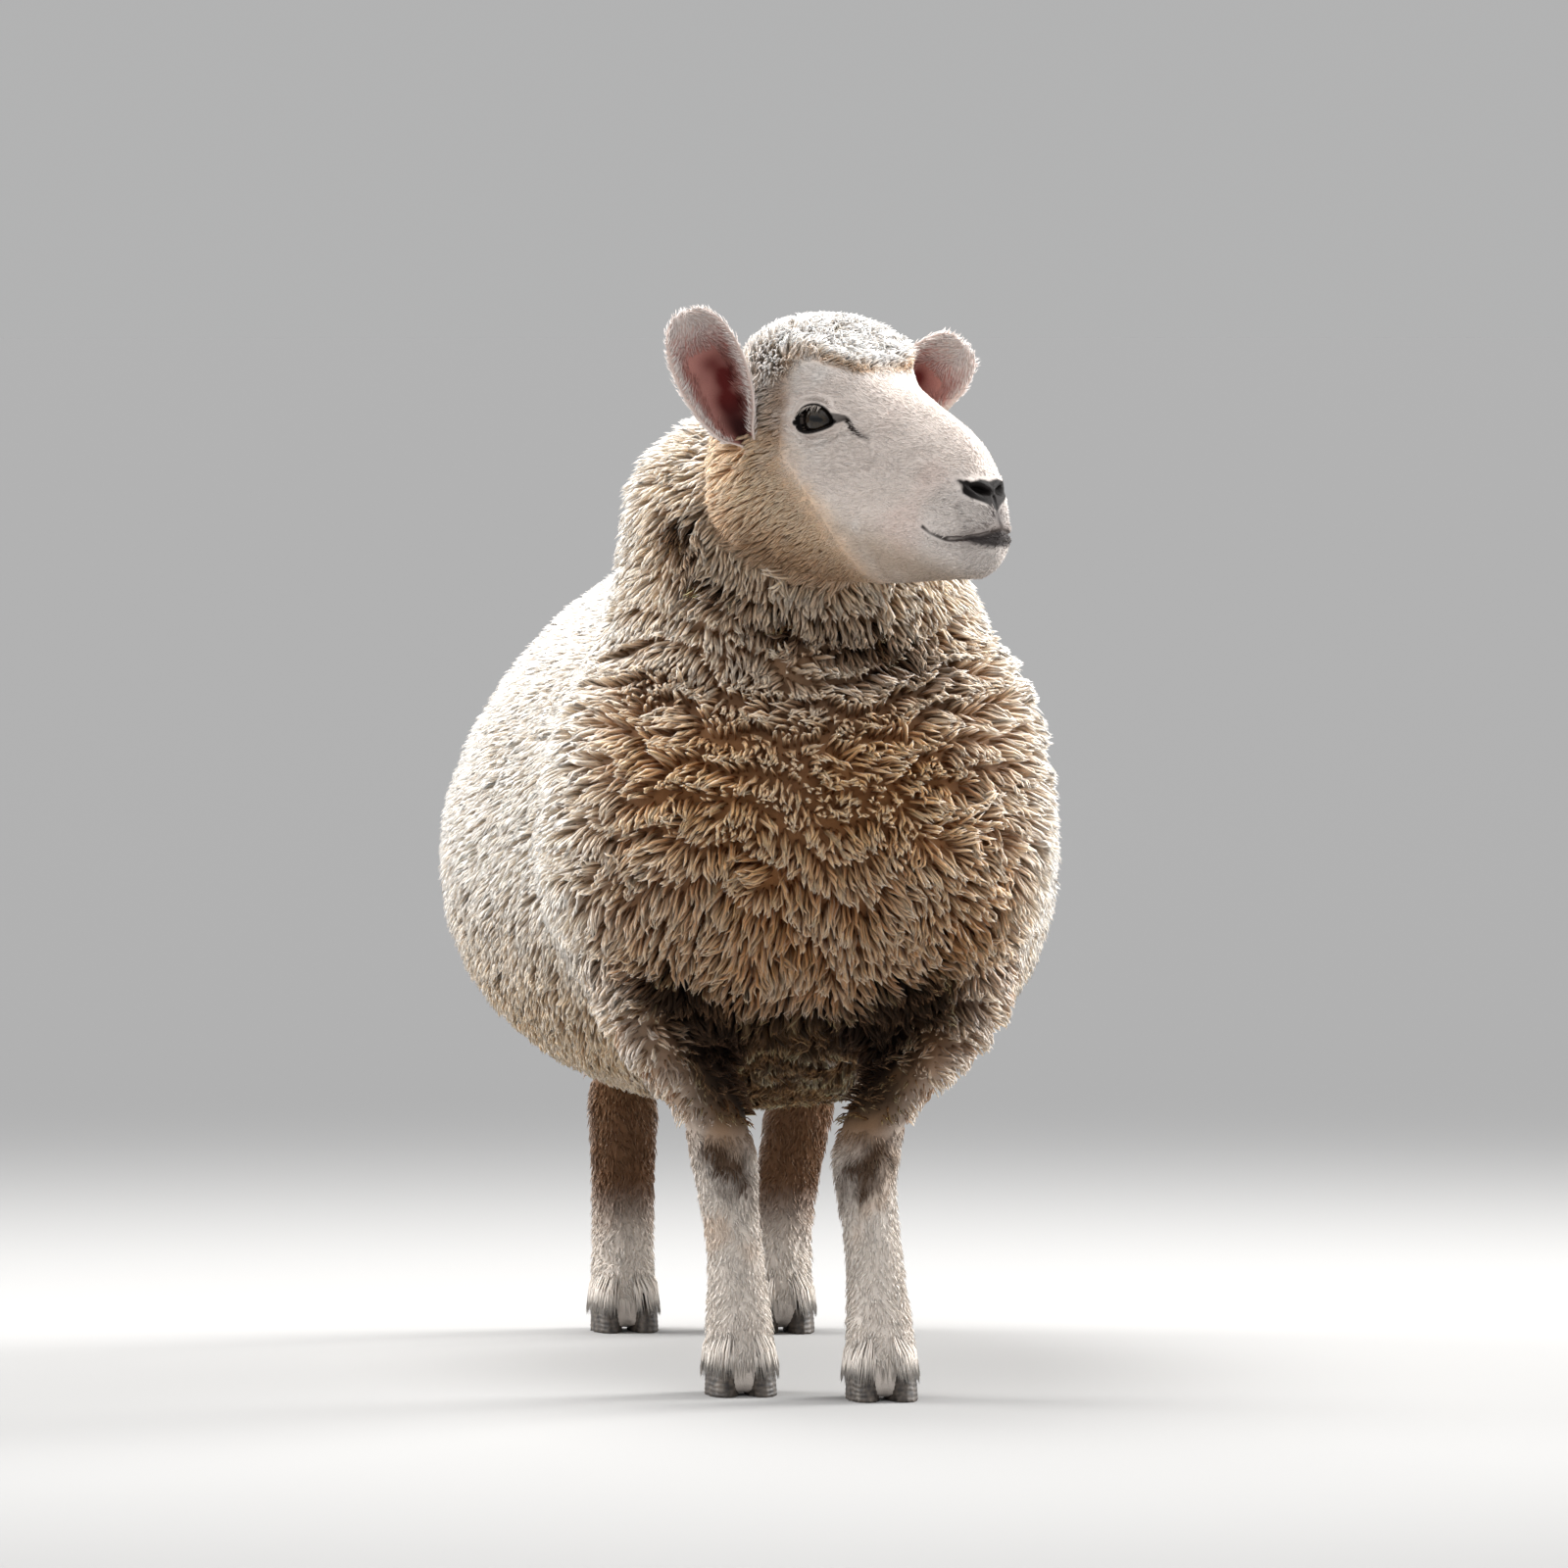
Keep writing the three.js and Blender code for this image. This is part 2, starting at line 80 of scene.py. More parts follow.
LIGHT_SPREAD = math.radians(75)
LIGHT_COLOUR = (1.0, 0.985, 0.965)
LIGHT_AIM = (0.0, 0.0, 0.6)
LIGHTS = (  # name, place, width and power
    ("roof", (-0.6, 1.2, 4.2), 2.6, 32),
    ("side_right", (-3.7, 1.5, 2.3), 2.2, 36),
    ("side_left", (3.8, 1.3, 2.3), 2.2, 62),
)


def add_light(name, at, size, power):
    data = bpy.data.lights.new(name, "AREA")
    data.shape = "DISK"
    data.size = size
    data.energy = power
    data.color = LIGHT_COLOUR
    data.spread = LIGHT_SPREAD
    light = bpy.data.objects.new(name, data)
    light.location = at
    away = np.array(at) - np.array(LIGHT_AIM)
    flat = math.hypot(away[0], away[1])
    light.rotation_euler = (math.atan2(flat, away[2]), 0.0, math.atan2(away[0], -away[1]))
    bpy.context.scene.collection.objects.link(light)


HORIZON = (0.4475, 0.4482, 0.4487)
ZENITH = (1.3, 1.3, 1.31)
SKY_RISE = (0.03, 0.75)  # the heights on a unit dome between which it brightens


def sky_dome():
    """An even overcast dome, brightest overhead, that meets the far floor without a line."""
    world = bpy.data.worlds.new("studio")
    bpy.context.scene.world = world
    world.use_nodes = True
    tree = world.node_tree
    way = add_node(tree, "TexCoord").outputs["Generated"]
    ramp = add_node(tree, "ValToRGB", {"Fac": add_node(tree, "SeparateXYZ", {"Vector": way}).outputs["Z"]})
    feed(tree, tree.nodes["Background"], {"Color": ramp.outputs["Color"]})
    first, last = ramp.color_ramp.elements
    first.position, last.position = SKY_RISE
    first.color = (*HORIZON, 1)
    last.color = (*ZENITH, 1)


def add_studio():
    bpy.context.scene.view_settings.view_transform = "Standard"
    sky_dome()
    for light in LIGHTS:
        add_light(*light)
    deselect()
    bpy.ops.mesh.primitive_plane_add(size=2 * FLOOR_HALF)
    floor = bpy.context.object
    floor.name = "floor"
    floor.data.materials.append(floor_finish())


# ---- Small tools ----------------------------------------------------------------------------------

def deselect():
    for item in list(bpy.context.selected_objects):
        item.select_set(False)


def pick(piece):
    """Makes a piece the only one selected, and the active one."""
    deselect()
    piece.select_set(True)
    bpy.context.view_layer.objects.active = piece


def mode(name):
    bpy.ops.object.mode_set(mode=name)


def feed(tree, node, values):
    """Fills a node's inputs, by their names or numbers, each with a constant or a link to an output."""
    for label, value in values.items():
        socket = node.inputs[label]
        if isinstance(value, bpy.types.NodeSocket):
            tree.links.new(value, socket)
        else:
            socket.default_value = value


def add_node(tree, kind, values=None):
    node = tree.nodes.new("ShaderNode" + kind)
    feed(tree, node, values or {})
    return node


def srgb(*levels):
    """A colour given in screen levels, 0 to 255, as linear light."""
    part = np.array(levels, float) / 255.0
    return np.where(part <= 0.04045, part / 12.92, ((part + 0.055) / 1.055) ** 2.4)


def smoothstep(low, high, value):
    part = np.clip((value - low) / (high - low), 0.0, 1.0)
    return part * part * (3.0 - 2.0 * part)


def blend(a, b, share):
    return a + (b - a) * share[..., None]


def unit(vectors):
    return vectors / np.maximum(np.linalg.norm(vectors, axis=-1, keepdims=True), 1e-9)


def bell(value, width):
    return np.exp(-((value / width) ** 2))


def waves(points, size, seed, count=18):
    """A soft random field of about unit spread that varies over the given size, in metres."""
    draw = np.random.default_rng(seed)
    ways = unit(draw.normal(size=(count, 3))) * (2 * math.pi / size)
    ways *= draw.uniform(0.7, 1.35, (count, 1))
    phase = draw.uniform(0, 2 * math.pi, count)
    return np.cos(points @ ways.T + phase).sum(1) * math.sqrt(2.0 / count)


def read(items, name, width, kind=np.float32):
    found = np.empty(len(items) * width, kind)
    items.foreach_get(name, found)
    return found.reshape(-1, width) if width > 1 else found


def places(mesh):
    return read(mesh.vertices, "co", 3).astype(float)


def place(mesh, points):
    mesh.vertices.foreach_set("co", np.ascontiguousarray(points, np.float32).ravel())
    mesh.update()


def normals(mesh):
    return read(mesh.vertex_normals, "vector", 3).astype(float)


def edges_of(mesh):
    return read(mesh.edges, "vertices", 2, np.int32)


def averaged(values, edges, rounds, share=0.5):
    """Values drawn towards the mean of their neighbours. A negative share pushes them back."""
    a, b = edges[:, 0], edges[:, 1]
    count = len(values)
    degree = np.bincount(a, minlength=count) + np.bincount(b, minlength=count)
    degree = np.maximum(degree, 1)
    flat = values.reshape(count, -1).copy()
    for _ in range(rounds):
        near = np.stack([
            np.bincount(a, weights=column[b], minlength=count)
            + np.bincount(b, weights=column[a], minlength=count)
            for column in flat.T
        ], 1) / degree[:, None]
        flat += (near - flat) * share
    return flat.reshape(values.shape)


PUSH_BACK = -0.52


def evened(values, edges, rounds):
    """Smoothing that keeps the volume: each round is pushed back by a little more than it drew in."""
    for _ in range(rounds):
        values = averaged(values, edges, 1)
        values = averaged(values, edges, 1, PUSH_BACK)
    return values


def outward(mesh):
    """The ways straight out of a surface, evened out a little."""
    return unit(averaged(normals(mesh), edges_of(mesh), 3))


def mesh_of(name, points, faces_by_size):
    """A mesh object from arrays. faces_by_size holds arrays of faces, one array for each face size."""
    mesh = bpy.data.meshes.new(name)
    mesh.vertices.add(len(points))
    mesh.vertices.foreach_set("co", np.ascontiguousarray(points, np.float32).ravel())
    corners = np.concatenate([faces.ravel() for faces in faces_by_size]).astype(np.int32)
    sizes = np.concatenate([np.full(len(faces), faces.shape[1]) for faces in faces_by_size])
    starts = np.concatenate([[0], np.cumsum(sizes)[:-1]]).astype(np.int32)
    mesh.loops.add(len(corners))
    mesh.loops.foreach_set("vertex_index", corners)
    mesh.polygons.add(len(sizes))
    mesh.polygons.foreach_set("loop_start", starts)
    mesh.update(calc_edges=True)
    smooth(mesh)
    piece = bpy.data.objects.new(name, mesh)
    bpy.context.scene.collection.objects.link(piece)
    return piece


def smooth(mesh):
    mesh.polygons.foreach_set("use_smooth", np.ones(len(mesh.polygons), bool))


def paint(mesh, name, colours):
    """Puts a colour on each vertex, for the materials to read."""
    layer = mesh.color_attributes.new(name, "FLOAT_COLOR", "POINT")
    full = np.ones((len(colours), 4), np.float32)
    full[:, :3] = colours
    layer.data.foreach_set("color", full.ravel())


def apply_all(piece):
    pick(piece)
    for modifier in list(piece.modifiers):
        bpy.ops.object.modifier_apply(modifier=modifier.name)


def copy_of(names, name):
    """One new object from copies of CAD nodes, with their loose triangles merged."""
    copies = []
    for node in names:
        copy = bpy.data.objects.new(name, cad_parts[node].data.copy())
        bpy.context.scene.collection.objects.link(copy)
        copies.append(copy)
    pick(copies[0])
    for copy in copies:
        copy.select_set(True)
    if len(copies) > 1:
        bpy.ops.object.join()
    piece = bpy.context.view_layer.objects.active
    piece.data.materials.clear()
    mode("EDIT")
    bpy.ops.mesh.select_all(action="SELECT")
    bpy.ops.mesh.remove_doubles(threshold=1e-5)
    mode("OBJECT")
    piece.name = name
    return piece


def remesh(piece, voxel):
    modifier = piece.modifiers.new("one_surface", "REMESH")
    modifier.mode = "VOXEL"
    modifier.voxel_size = voxel
    modifier.adaptivity = 0.0
    apply_all(piece)


def edit_only(piece, kind, items, chosen):
    """Opens a piece for editing with only the chosen ones of its vertices or faces selected."""
    pick(piece)
    mode("EDIT")
    bpy.ops.mesh.select_mode(type=kind)
    bpy.ops.mesh.select_all(action="DESELECT")
    mode("OBJECT")
    items.foreach_set("select", chosen)
    mode("EDIT")


def keep_largest(piece):
    """Deletes every loose scrap but the largest connected surface."""
    mesh = piece.data
    edges = edges_of(mesh)
    label = np.arange(len(mesh.vertices))
    while True:
        low = np.minimum(label[edges[:, 0]], label[edges[:, 1]])
        new = label.copy()
        np.minimum.at(new, edges[:, 0], low)
        np.minimum.at(new, edges[:, 1], low)
        new = new[new]
        if (new == label).all():
            break
        label = new
    scraps = label != np.bincount(label).argmax()
    if not scraps.any():
        return
    edit_only(piece, "VERT", mesh.vertices, scraps)
    bpy.ops.mesh.delete(type="VERT")
    mode("OBJECT")


def subdivide_where(piece, wanted):
    """Splits the faces that wanted picks by their centres."""
    mesh = piece.data
    chosen = wanted(read(mesh.polygons, "center", 3).astype(float))
    edit_only(piece, "FACE", mesh.polygons, chosen)
    bpy.ops.mesh.subdivide(number_cuts=1)
    mode("OBJECT")


def nearest(sources, points):
    """For each point, the number of the nearest source and how far off it is."""
    tree = KDTree(len(sources))
    for number, source in enumerate(sources):
        tree.insert(source, number)
    tree.balance()
    table = np.array([tree.find(point)[1:] for point in points], float)
    return table[:, 0].astype(int), table[:, 1]


# ---- Where things are on the head -----------------------------------------------------------------

HEAD_DIP = math.radians(20)
EYE_AHEAD = 5.0  # of the head's own middle, in millimetres, as are all the places on the head
EYE_UP = 3.0


def centre_of(node):
    low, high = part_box(node)
    return (np.array(low) + np.array(high)) / 2


def head_frame():
    """The head's middle, and its ways left, forward and up as the columns of a matrix."""
    right, left = centre_of("eye_right"), centre_of("eye_left")
    leftward = unit(left - right)
    level = np.cross(leftward, (0.0, 0.0, 1.0))
    level = -level if level[1] > 0 else level
    forward = level * math.cos(HEAD_DIP) + np.array((0.0, 0.0, -math.sin(HEAD_DIP)))
    upward = np.cross(forward, leftward)
    middle = (left + right) / 2 - (forward * EYE_AHEAD + upward * EYE_UP) * MM
    return middle, np.stack([leftward, forward, upward], 1)


HEAD_MIDDLE, HEAD_WAYS = head_frame()


def on_head(points):
    """Places as millimetres left, forward and up from the head's middle."""
    return (points - HEAD_MIDDLE) @ HEAD_WAYS / MM


def off_head(places_mm):
    return places_mm * MM @ HEAD_WAYS.T + HEAD_MIDDLE


def mirrored(h):
    """Head places with both sides laid on one: outward, forward, up."""
    return np.column_stack([np.abs(h[:, 0]), h[:, 1], h[:, 2]])


def face_edge(h):
    """How far, in millimetres, a place is inside the short-haired face; negative in the wool."""
    from_topknot = h[:, 1] - (24.0 - 0.0075 * h[:, 0] ** 2)
    from_cheek = 0.72 * (h[:, 2] + 42.5 + 0.96 * h[:, 1])
    return np.minimum(from_topknot, from_cheek)


# ---- Regions and the depth of the coat ------------------------------------------------------------

REGIONS = ("trunk", "tail", "neck", "head", "leg")
TRUNK, TAIL, NECK, HEAD, LEG = range(5)


def region_shares(mesh):
    """For each vertex of the unshrunk skin, how much it belongs to each region."""
    groups = [["trunk"], ["tail"], ["neck"], ["head", "eye_right", "eye_left"], [*LEGS, *CLAWS]]
    graph = bpy.context.evaluated_depsgraph_get()
    points = places(mesh)
    far = np.empty((len(points), len(groups)))
    for number, nodes in enumerate(groups):
        trees = [BVHTree.FromObject(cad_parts[node], graph) for node in nodes]
        low = np.min([np.array(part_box(node)[0]) for node in nodes], 0) - 0.03
        high = np.max([np.array(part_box(node)[1]) for node in nodes], 0) + 0.03
        close = ((points > low) & (points < high)).all(1)
        far[:, number] = 1.0
        for index in np.flatnonzero(close):
            hits = [tree.find_nearest(points[index])[3] for tree in trees]
            far[index, number] = min(hits)
    shares = (far.argmin(1)[:, None] == np.arange(len(groups))).astype(float)
    return averaged(shares, edges_of(mesh), 9)


# How deep the coat is, in millimetres.
BODY_WOOL = 27.0
BELLY_WOOL = 20.0
NECK_WOOL = 23.0
TAIL_WOOL = 13.0
TOPKNOT_WOOL = 15.0
CHEEK_WOOL = (3.0, 12.5)  # next to the face, and how much it gains from there to the jaw
FACE_DEPTH = 2.2
LEG_DEPTH = 3.2
EAR_BASE_AT = (76.0, -42.0, -20.0)
EAR_BASE_SIZE = (30.0, 27.0, 44.0)


def coat_depth(points, shares):
    """Millimetres from the skin to the tips of the coat."""
    h = on_head(points)
    height = points[:, 2] / MM
    trunk = BELLY_WOOL + (BODY_WOOL - BELLY_WOOL) * smoothstep(240, 420, height)
    leg = LEG_DEPTH + 6.5 * smoothstep(192, 240, height) + 14.0 * smoothstep(245, 350, height)
    edge = face_edge(h)
    wool = CHEEK_WOOL[0] + CHEEK_WOOL[1] * smoothstep(4, -78, edge)
    topknot = smoothstep(15, 38, h[:, 2]) * smoothstep(24, -6, h[:, 1])
    wool = wool + (TOPKNOT_WOOL - wool) * topknot * smoothstep(4, -20, edge)
    wool = np.maximum(wool, TOPKNOT_WOOL * ear_base(h))
    head = FACE_DEPTH + (wool - FACE_DEPTH) * smoothstep(8, -12, edge)
    tail = np.full(len(points), TAIL_WOOL)
    neck = np.full(len(points), NECK_WOOL)
    depths = np.stack([trunk, tail, neck, head, leg], 1)
    return (depths * shares).sum(1) / shares.sum(1)


def ear_base(h):
    """1 round the root of each ear, fading out over a few centimetres."""
    offset = (mirrored(h) - EAR_BASE_AT) / EAR_BASE_SIZE
    return bell(np.linalg.norm(offset, axis=1), 1.0)


# ---- The ears' leaves -----------------------------------------------------------------------------

EAR_LENGTH = 117.5
EAR_HALF = 35.5
EAR_THICK = 3.6
EAR_CURL = (120.0, 32.0)  # degrees from the middle line to the edge, at the root and at the tip
EAR_ROOT = (84.0, -50.0, -36.0)  # outward, forward, up
EARS = {  # the way each leaf points, and the way its bowl faces: outward, forward, up
    -1: ((0.4, -0.46, 0.79), (0.76, 0.6, 0.24)),
    1: ((0.52, 0.3, 0.85), (-0.72, 0.66, 0.2)),
}
EAR_ROWS = 46
EAR_COLUMNS = 34
EAR_BURIED = -0.2  # the root runs this share of the length on into the head


def ear_ways(side):
    tip, opens = (np.array(way) * (side, 1, 1) for way in EARS[side])
    long = unit(tip)
    bowl = unit(opens - long * (opens @ long))
    wide = np.cross(-bowl, long) * -1  # the head's ways here are left, forward and up
    return wide, -bowl, long


def ear_sheet(side, outer):
    """A sheet of points over one face of the ear, as rows from root to tip, with their places on it."""
    up = np.linspace(0, 1, EAR_ROWS)[:, None] ** 0.92 * (1 - EAR_BURIED) + EAR_BURIED
    across = np.linspace(-1, 1, EAR_COLUMNS)[None, :]
    held = np.clip(up, 0, 1)
    breadth = EAR_HALF * np.maximum(1 - ((held - 0.5) / 0.52) ** 2, 0) ** 0.38
    curl = np.radians(EAR_CURL[0] + (EAR_CURL[1] - EAR_CURL[0]) * np.sqrt(held))
    bend = np.maximum(breadth, EAR_THICK) / curl
    edge = 1 - 0.55 * np.abs(across) ** 4
    reach = bend + (0.5 if outer else -0.5) * EAR_THICK * edge * (1 - 0.35 * held)
    turn = curl * across
    local = np.stack([np.sin(turn) * reach, np.cos(turn) * reach - bend, up * EAR_LENGTH + 0 * turn], 2)
    wide, back, long = ear_ways(side)
    sunk = smoothstep(0.1, EAR_BURIED, up + 0 * across)
    h = local[..., :1] * wide + local[..., 1:2] * back + local[..., 2:] * long
    h = h + np.array(EAR_ROOT) * (side, 1, 1) - sunk[..., None] * np.array((side * 34.0, 0.0, 0.0))
    spot = np.stack([across + 0 * up, up + 0 * across], 2)
    return off_head(h), spot


def ear_mesh(side):
    """A closed ear, and for each of its vertices: across, up, 1 inside the bowl, and the side."""
    sheets = [ear_sheet(side, True), ear_sheet(side, False)]
    points = np.concatenate([sheet.reshape(-1, 3) for sheet, _ in sheets])
    spots = np.concatenate([spot.reshape(-1, 2) for _, spot in sheets])
    inner = np.repeat([0.0, 1.0], EAR_ROWS * EAR_COLUMNS)
    a, b = np.arange(2 * EAR_ROWS * EAR_COLUMNS).reshape(2, EAR_ROWS, EAR_COLUMNS)
    quads = []
    for sheet, turned in ((a, False), (b, True)):
        square = np.stack([sheet[:-1, :-1], sheet[:-1, 1:], sheet[1:, 1:], sheet[1:, :-1]], -1)
        square = square.reshape(-1, 4)
        quads.append(square[:, ::-1] if turned else square)
    rim_a, rim_b = (
        np.concatenate([sheet[0, :], sheet[1:, -1], sheet[-1, -2::-1], sheet[-2:0:-1, 0]])
        for sheet in (a, b))
    quads.append(np.stack([rim_a, rim_b, np.roll(rim_b, -1), np.roll(rim_a, -1)], -1))
    ear = mesh_of("ear", points, [np.concatenate(quads)])
    pick(ear)
    mode("EDIT")
    bpy.ops.mesh.select_all(action="SELECT")
    bpy.ops.mesh.normals_make_consistent(inside=False)
    mode("OBJECT")
    notes = np.column_stack([spots, inner, np.full(len(points), float(side))])
    return ear, notes


# ---- The skin -------------------------------------------------------------------------------------

SKIN_VOXEL = 7.6 * MM
GLOBE = 16.6  # the eyeball's radius
GLOBE_AT = np.array((53.0, 5.0, 3.0))  # outward, forward, up
EYE_WAY_OUT = unit(np.array((0.95, 0.27, 0.1)))
EYE_WAY_LONG = np.array((0.0, 0.925, 0.38))
EYE_WAY_LONG = unit(EYE_WAY_LONG - EYE_WAY_OUT * (EYE_WAY_LONG @ EYE_WAY_OUT))
EYE_WAY_UP = np.cross(EYE_WAY_OUT, EYE_WAY_LONG)
EYE_ENDS = (-20.0, 15.0)  # the opening's outer and inner corners
CANTHUS = (24.0, 1.4)  # where the dark skin of the inner corner runs out to
EYE_LOW = -2.6  # how high the corners are
UPPER_LID = 13.4
LOWER_LID = 6.8
LID_THICK = 2.2

NOSTRIL = np.array([(24.5, 147, -2.5), (21, 151, -4), (16, 154, -5), (11, 156, -6), (6.5, 157, -6.5)])
NOSTRIL_HALF = np.array([0.8, 2.8, 4.4, 4.6, 3.4])
NOSTRIL_DEEP = 9.0
MOUTH = np.array([(38, 120, -49), (37, 131, -52.5), (35, 146, -52), (30, 161, -46),
                  (21, 171, -40), (10, 176, -35), (0, 177.5, -32)], float)
PHILTRUM = np.array([(0, 160, -10), (0, 170, -20), (0, 177, -31)], float)
TEAR_LINE = np.array([(54, 29, 11), (52, 36, 6), (51, 42, 3), (49, 51, 2.5)], float)


def along_line(points, line, flat=(1.0, 1.0, 1.0)):
    """How far each point is from a bent line, and how far along the line its nearest place is, 0 to 1."""
    scale = np.array(flat)
    best = np.full(len(points), 1e9)
    where = np.zeros(len(points))
    steps = len(line) - 1
    for number, (start, end) in enumerate(zip(line[:-1], line[1:])):
        way = (end - start) * scale
        offset = (points - start) * scale
        part = np.clip(offset @ way / max(way @ way, 1e-9), 0, 1)
        far = np.linalg.norm(offset - part[:, None] * way, axis=1)
        closer = far < best
        best = np.where(closer, far, best)
        where = np.where(closer, (number + part) / steps, where)
    return best, where


def on_eye(m):
    """Places on the eye's own ways: along its opening, up across it and out from the globe's centre."""
    offset = m - GLOBE_AT
    return offset @ EYE_WAY_LONG, offset @ EYE_WAY_UP, offset @ EYE_WAY_OUT


def upper_lid(part):
    """How high the upper lid's edge is above the corners, from the outer one to the inner."""
    return UPPER_LID * (4 * part * (1 - part)) ** 0.62


def lid_out(s, t):
    """How far out from the globe's centre the lids lie."""
    return np.sqrt(np.maximum((GLOBE + LID_THICK) ** 2 - (0.78 * s) ** 2 - (0.96 * t) ** 2, 0))


def eye_edge(s, t):
    """Millimetres outside the eye's opening; negative within it."""
    first, last = EYE_ENDS
    t = t - EYE_LOW
    part = np.clip((s - first) / (last - first), 0, 1)
    upper = upper_lid(part)
    lower = LOWER_LID * (4 * part * (1 - part)) ** 0.45 * (1 - 0.4 * (2 * part - 1))
    inside = np.maximum(t - upper, -lower - t)
    beyond = np.hypot(np.maximum(first - s, 0) + np.maximum(s - last, 0), t)
    return np.where((s > first) & (s < last), inside, beyond)


def canthus_edge(s, t):
    """Millimetres outside the dark wedge between the eye's inner corner and the tear line."""
    part = np.clip((s - 8.0) / (CANTHUS[0] - 8.0), 0, 1)
    middle = CANTHUS[1] * part - 1.2
    half = 5.6 * (1 - part) ** 0.7 + 0.7
    ahead = np.maximum(s - CANTHUS[0], 0) + np.maximum(8.0 - s, 0)
    return np.hypot(np.maximum(np.abs(t - middle) - half, 0), ahead)


def nostril_edge(m):
    far, where = along_line(m, NOSTRIL)
    return far - np.interp(where, np.linspace(0, 1, len(NOSTRIL)), NOSTRIL_HALF)


def shape_eyes(m):
    """Lids that wrap the globe, the pocket that it sits in, and the folds above and below."""
    s, t, out = on_eye(m)
    edge = eye_edge(s, t)
    near = (np.hypot(s, t) < 46) & (out > 0)
    globe = np.sqrt(np.maximum(GLOBE ** 2 - s ** 2 - t ** 2, 0))
    lifted = out + np.maximum(lid_out(s, t) - out, 0) * smoothstep(15, 4, edge)
    lifted += 0.7 * bell(edge - 1.6, 1.6)
    above = smoothstep(0, 5, t)
    below = smoothstep(0, -5, t)
    lifted += above * (1.6 * bell(edge - 9.5, 3.0) - 1.3 * bell(edge - 5.6, 1.3))
    lifted += below * (1.0 * bell(edge - 8.5, 2.6) - 0.9 * bell(edge - 5.2, 1.1))
    lifted += below * (0.9 * bell(edge - 16.0, 3.0) - 0.9 * bell(edge - 12.3, 1.3))
    pocket = np.where(globe > 0.5, np.minimum(globe - 4.0, lifted - 3.0), lifted - 4.0)
    pocket = np.minimum(pocket, lifted - 3.0)
    shaped = pocket + (lifted - pocket) * smoothstep(-1.0, 0.7, edge)
    fade = smoothstep(44, 30, np.hypot(s, t))
    return m + np.where(near, (shaped - out) * fade, 0)[:, None] * EYE_WAY_OUT


def shape_muzzle(m):
    """Nostrils, the cleft of the upper lip, the mouth's line and the lips that meet there."""
    hole = nostril_edge(m)
    inward = unit(np.array((-0.25, -0.95, -0.15)))
    moved = m + (NOSTRIL_DEEP * smoothstep(0.6, -3.2, hole))[:, None] * inward
    outward = unit(np.array((0.62, 0.72, 0.3)))
    moved = moved + (1.9 * bell(hole - 3.6, 2.6) * smoothstep(-3, 3, m[:, 2] + 7))[:, None] * outward
    far, where = along_line(m, MOUTH)
    fade = smoothstep(0.0, 0.12, where)
    lips = (1.5 * bell(far - 5.0, 3.4) - (1.2 + 2.6 * fade) * bell(far, 1.7)) * (m[:, 1] > 100)
    ahead = unit(np.column_stack([0.9 * m[:, 0], 26.0 * np.ones(len(m)), 0 * far]))
    moved = moved + lips[:, None] * ahead
    far, _ = along_line(m, PHILTRUM)
    moved[:, 1] -= 2.6 * bell(far, 1.9)
    far, where = along_line(m, TEAR_LINE)
    groove = 1.6 * bell(far, 1.9) * (1 - 0.5 * where)
    moved[:, 0] -= groove
    return moved


def shape_head(points):
    h = on_head(points)
    side = np.where(h[:, 0] < 0, -1.0, 1.0)
    m = shape_muzzle(shape_eyes(mirrored(h)))
    return off_head(np.column_stack([m[:, 0] * side, m[:, 1], m[:, 2]]))


def body_skin():
    """The skin without its ears, drawn in from the solids by the coat's depth, its points and regions."""
    skin = copy_of([*FLESH[:4], *FLESH[6:], *CLAWS, "eye_right", "eye_left"], "skin")
    remesh(skin, SKIN_VOXEL)
    keep_largest(skin)
    mesh = skin.data
    edges = edges_of(mesh)
    shares = region_shares(mesh)
    points = places(mesh)
    fine = np.clip(shares[:, HEAD] + shares[:, LEG], 0, 1)
    points = blend(averaged(points, edges, 16), evened(points, edges, 10), fine)
    place(mesh, points)
    depth = coat_depth(points, shares)
    out = averaged(normals(mesh), edges, 6)
    points = points - unit(out) * (depth * MM)[:, None]
    points = blend(averaged(points, edges, 6), evened(points, edges, 4), fine)
    place(mesh, points)
    return skin, points, shares


def join_ears(skin):
    """Joins both ears to the skin. Returns the ears' own points and what is known of each."""
    points, notes = [], []
    for side in (-1, 1):
        ear, ear_notes = ear_mesh(side)
        points.append(places(ear.data))
        notes.append(ear_notes)
        modifier = skin.modifiers.new("ear", "BOOLEAN")
        modifier.operation = "UNION"
        modifier.solver = "MANIFOLD"
        modifier.object = ear
        apply_all(skin)
        bpy.data.objects.remove(ear)
    return np.concatenate(points), np.concatenate(notes)


def on_features(centres):
    """Whether places are round the eyes, the nostrils, the mouth or the cleft of the lip."""
    m = mirrored(on_head(centres))
    s, t, out = on_eye(m)
    eyes = (np.hypot(s, 1.2 * t) < 27) & (out > -4)
    mouth = along_line(m, MOUTH)[0] < 5
    cleft = along_line(m, PHILTRUM)[0] < 4
    return eyes | (nostril_edge(m) < 7) | mouth | cleft


def refine_head(skin, ear_points):
    """Makes the mesh finer on the head, finer again on its face, and finest on its features."""

    def around_head(centres):
        h = on_head(centres)
        within = (np.abs(h[:, 0]) < 95) & (h[:, 1] > -110) & (h[:, 2] > -160) & (h[:, 2] < 100)
        return within & ~near_ears(centres, ear_points)

    def on_face(centres):
        h = on_head(centres)
        return around_head(centres) & (face_edge(h) > -16) & (h[:, 1] > -34)

    mesh = skin.data
    for wanted in (around_head, on_face, on_features):
        subdivide_where(skin, wanted)
        points = places(mesh)
        moved = averaged(points, edges_of(mesh), 3)
        chosen = wanted(points)
        points[chosen] = moved[chosen]
        place(mesh, points)


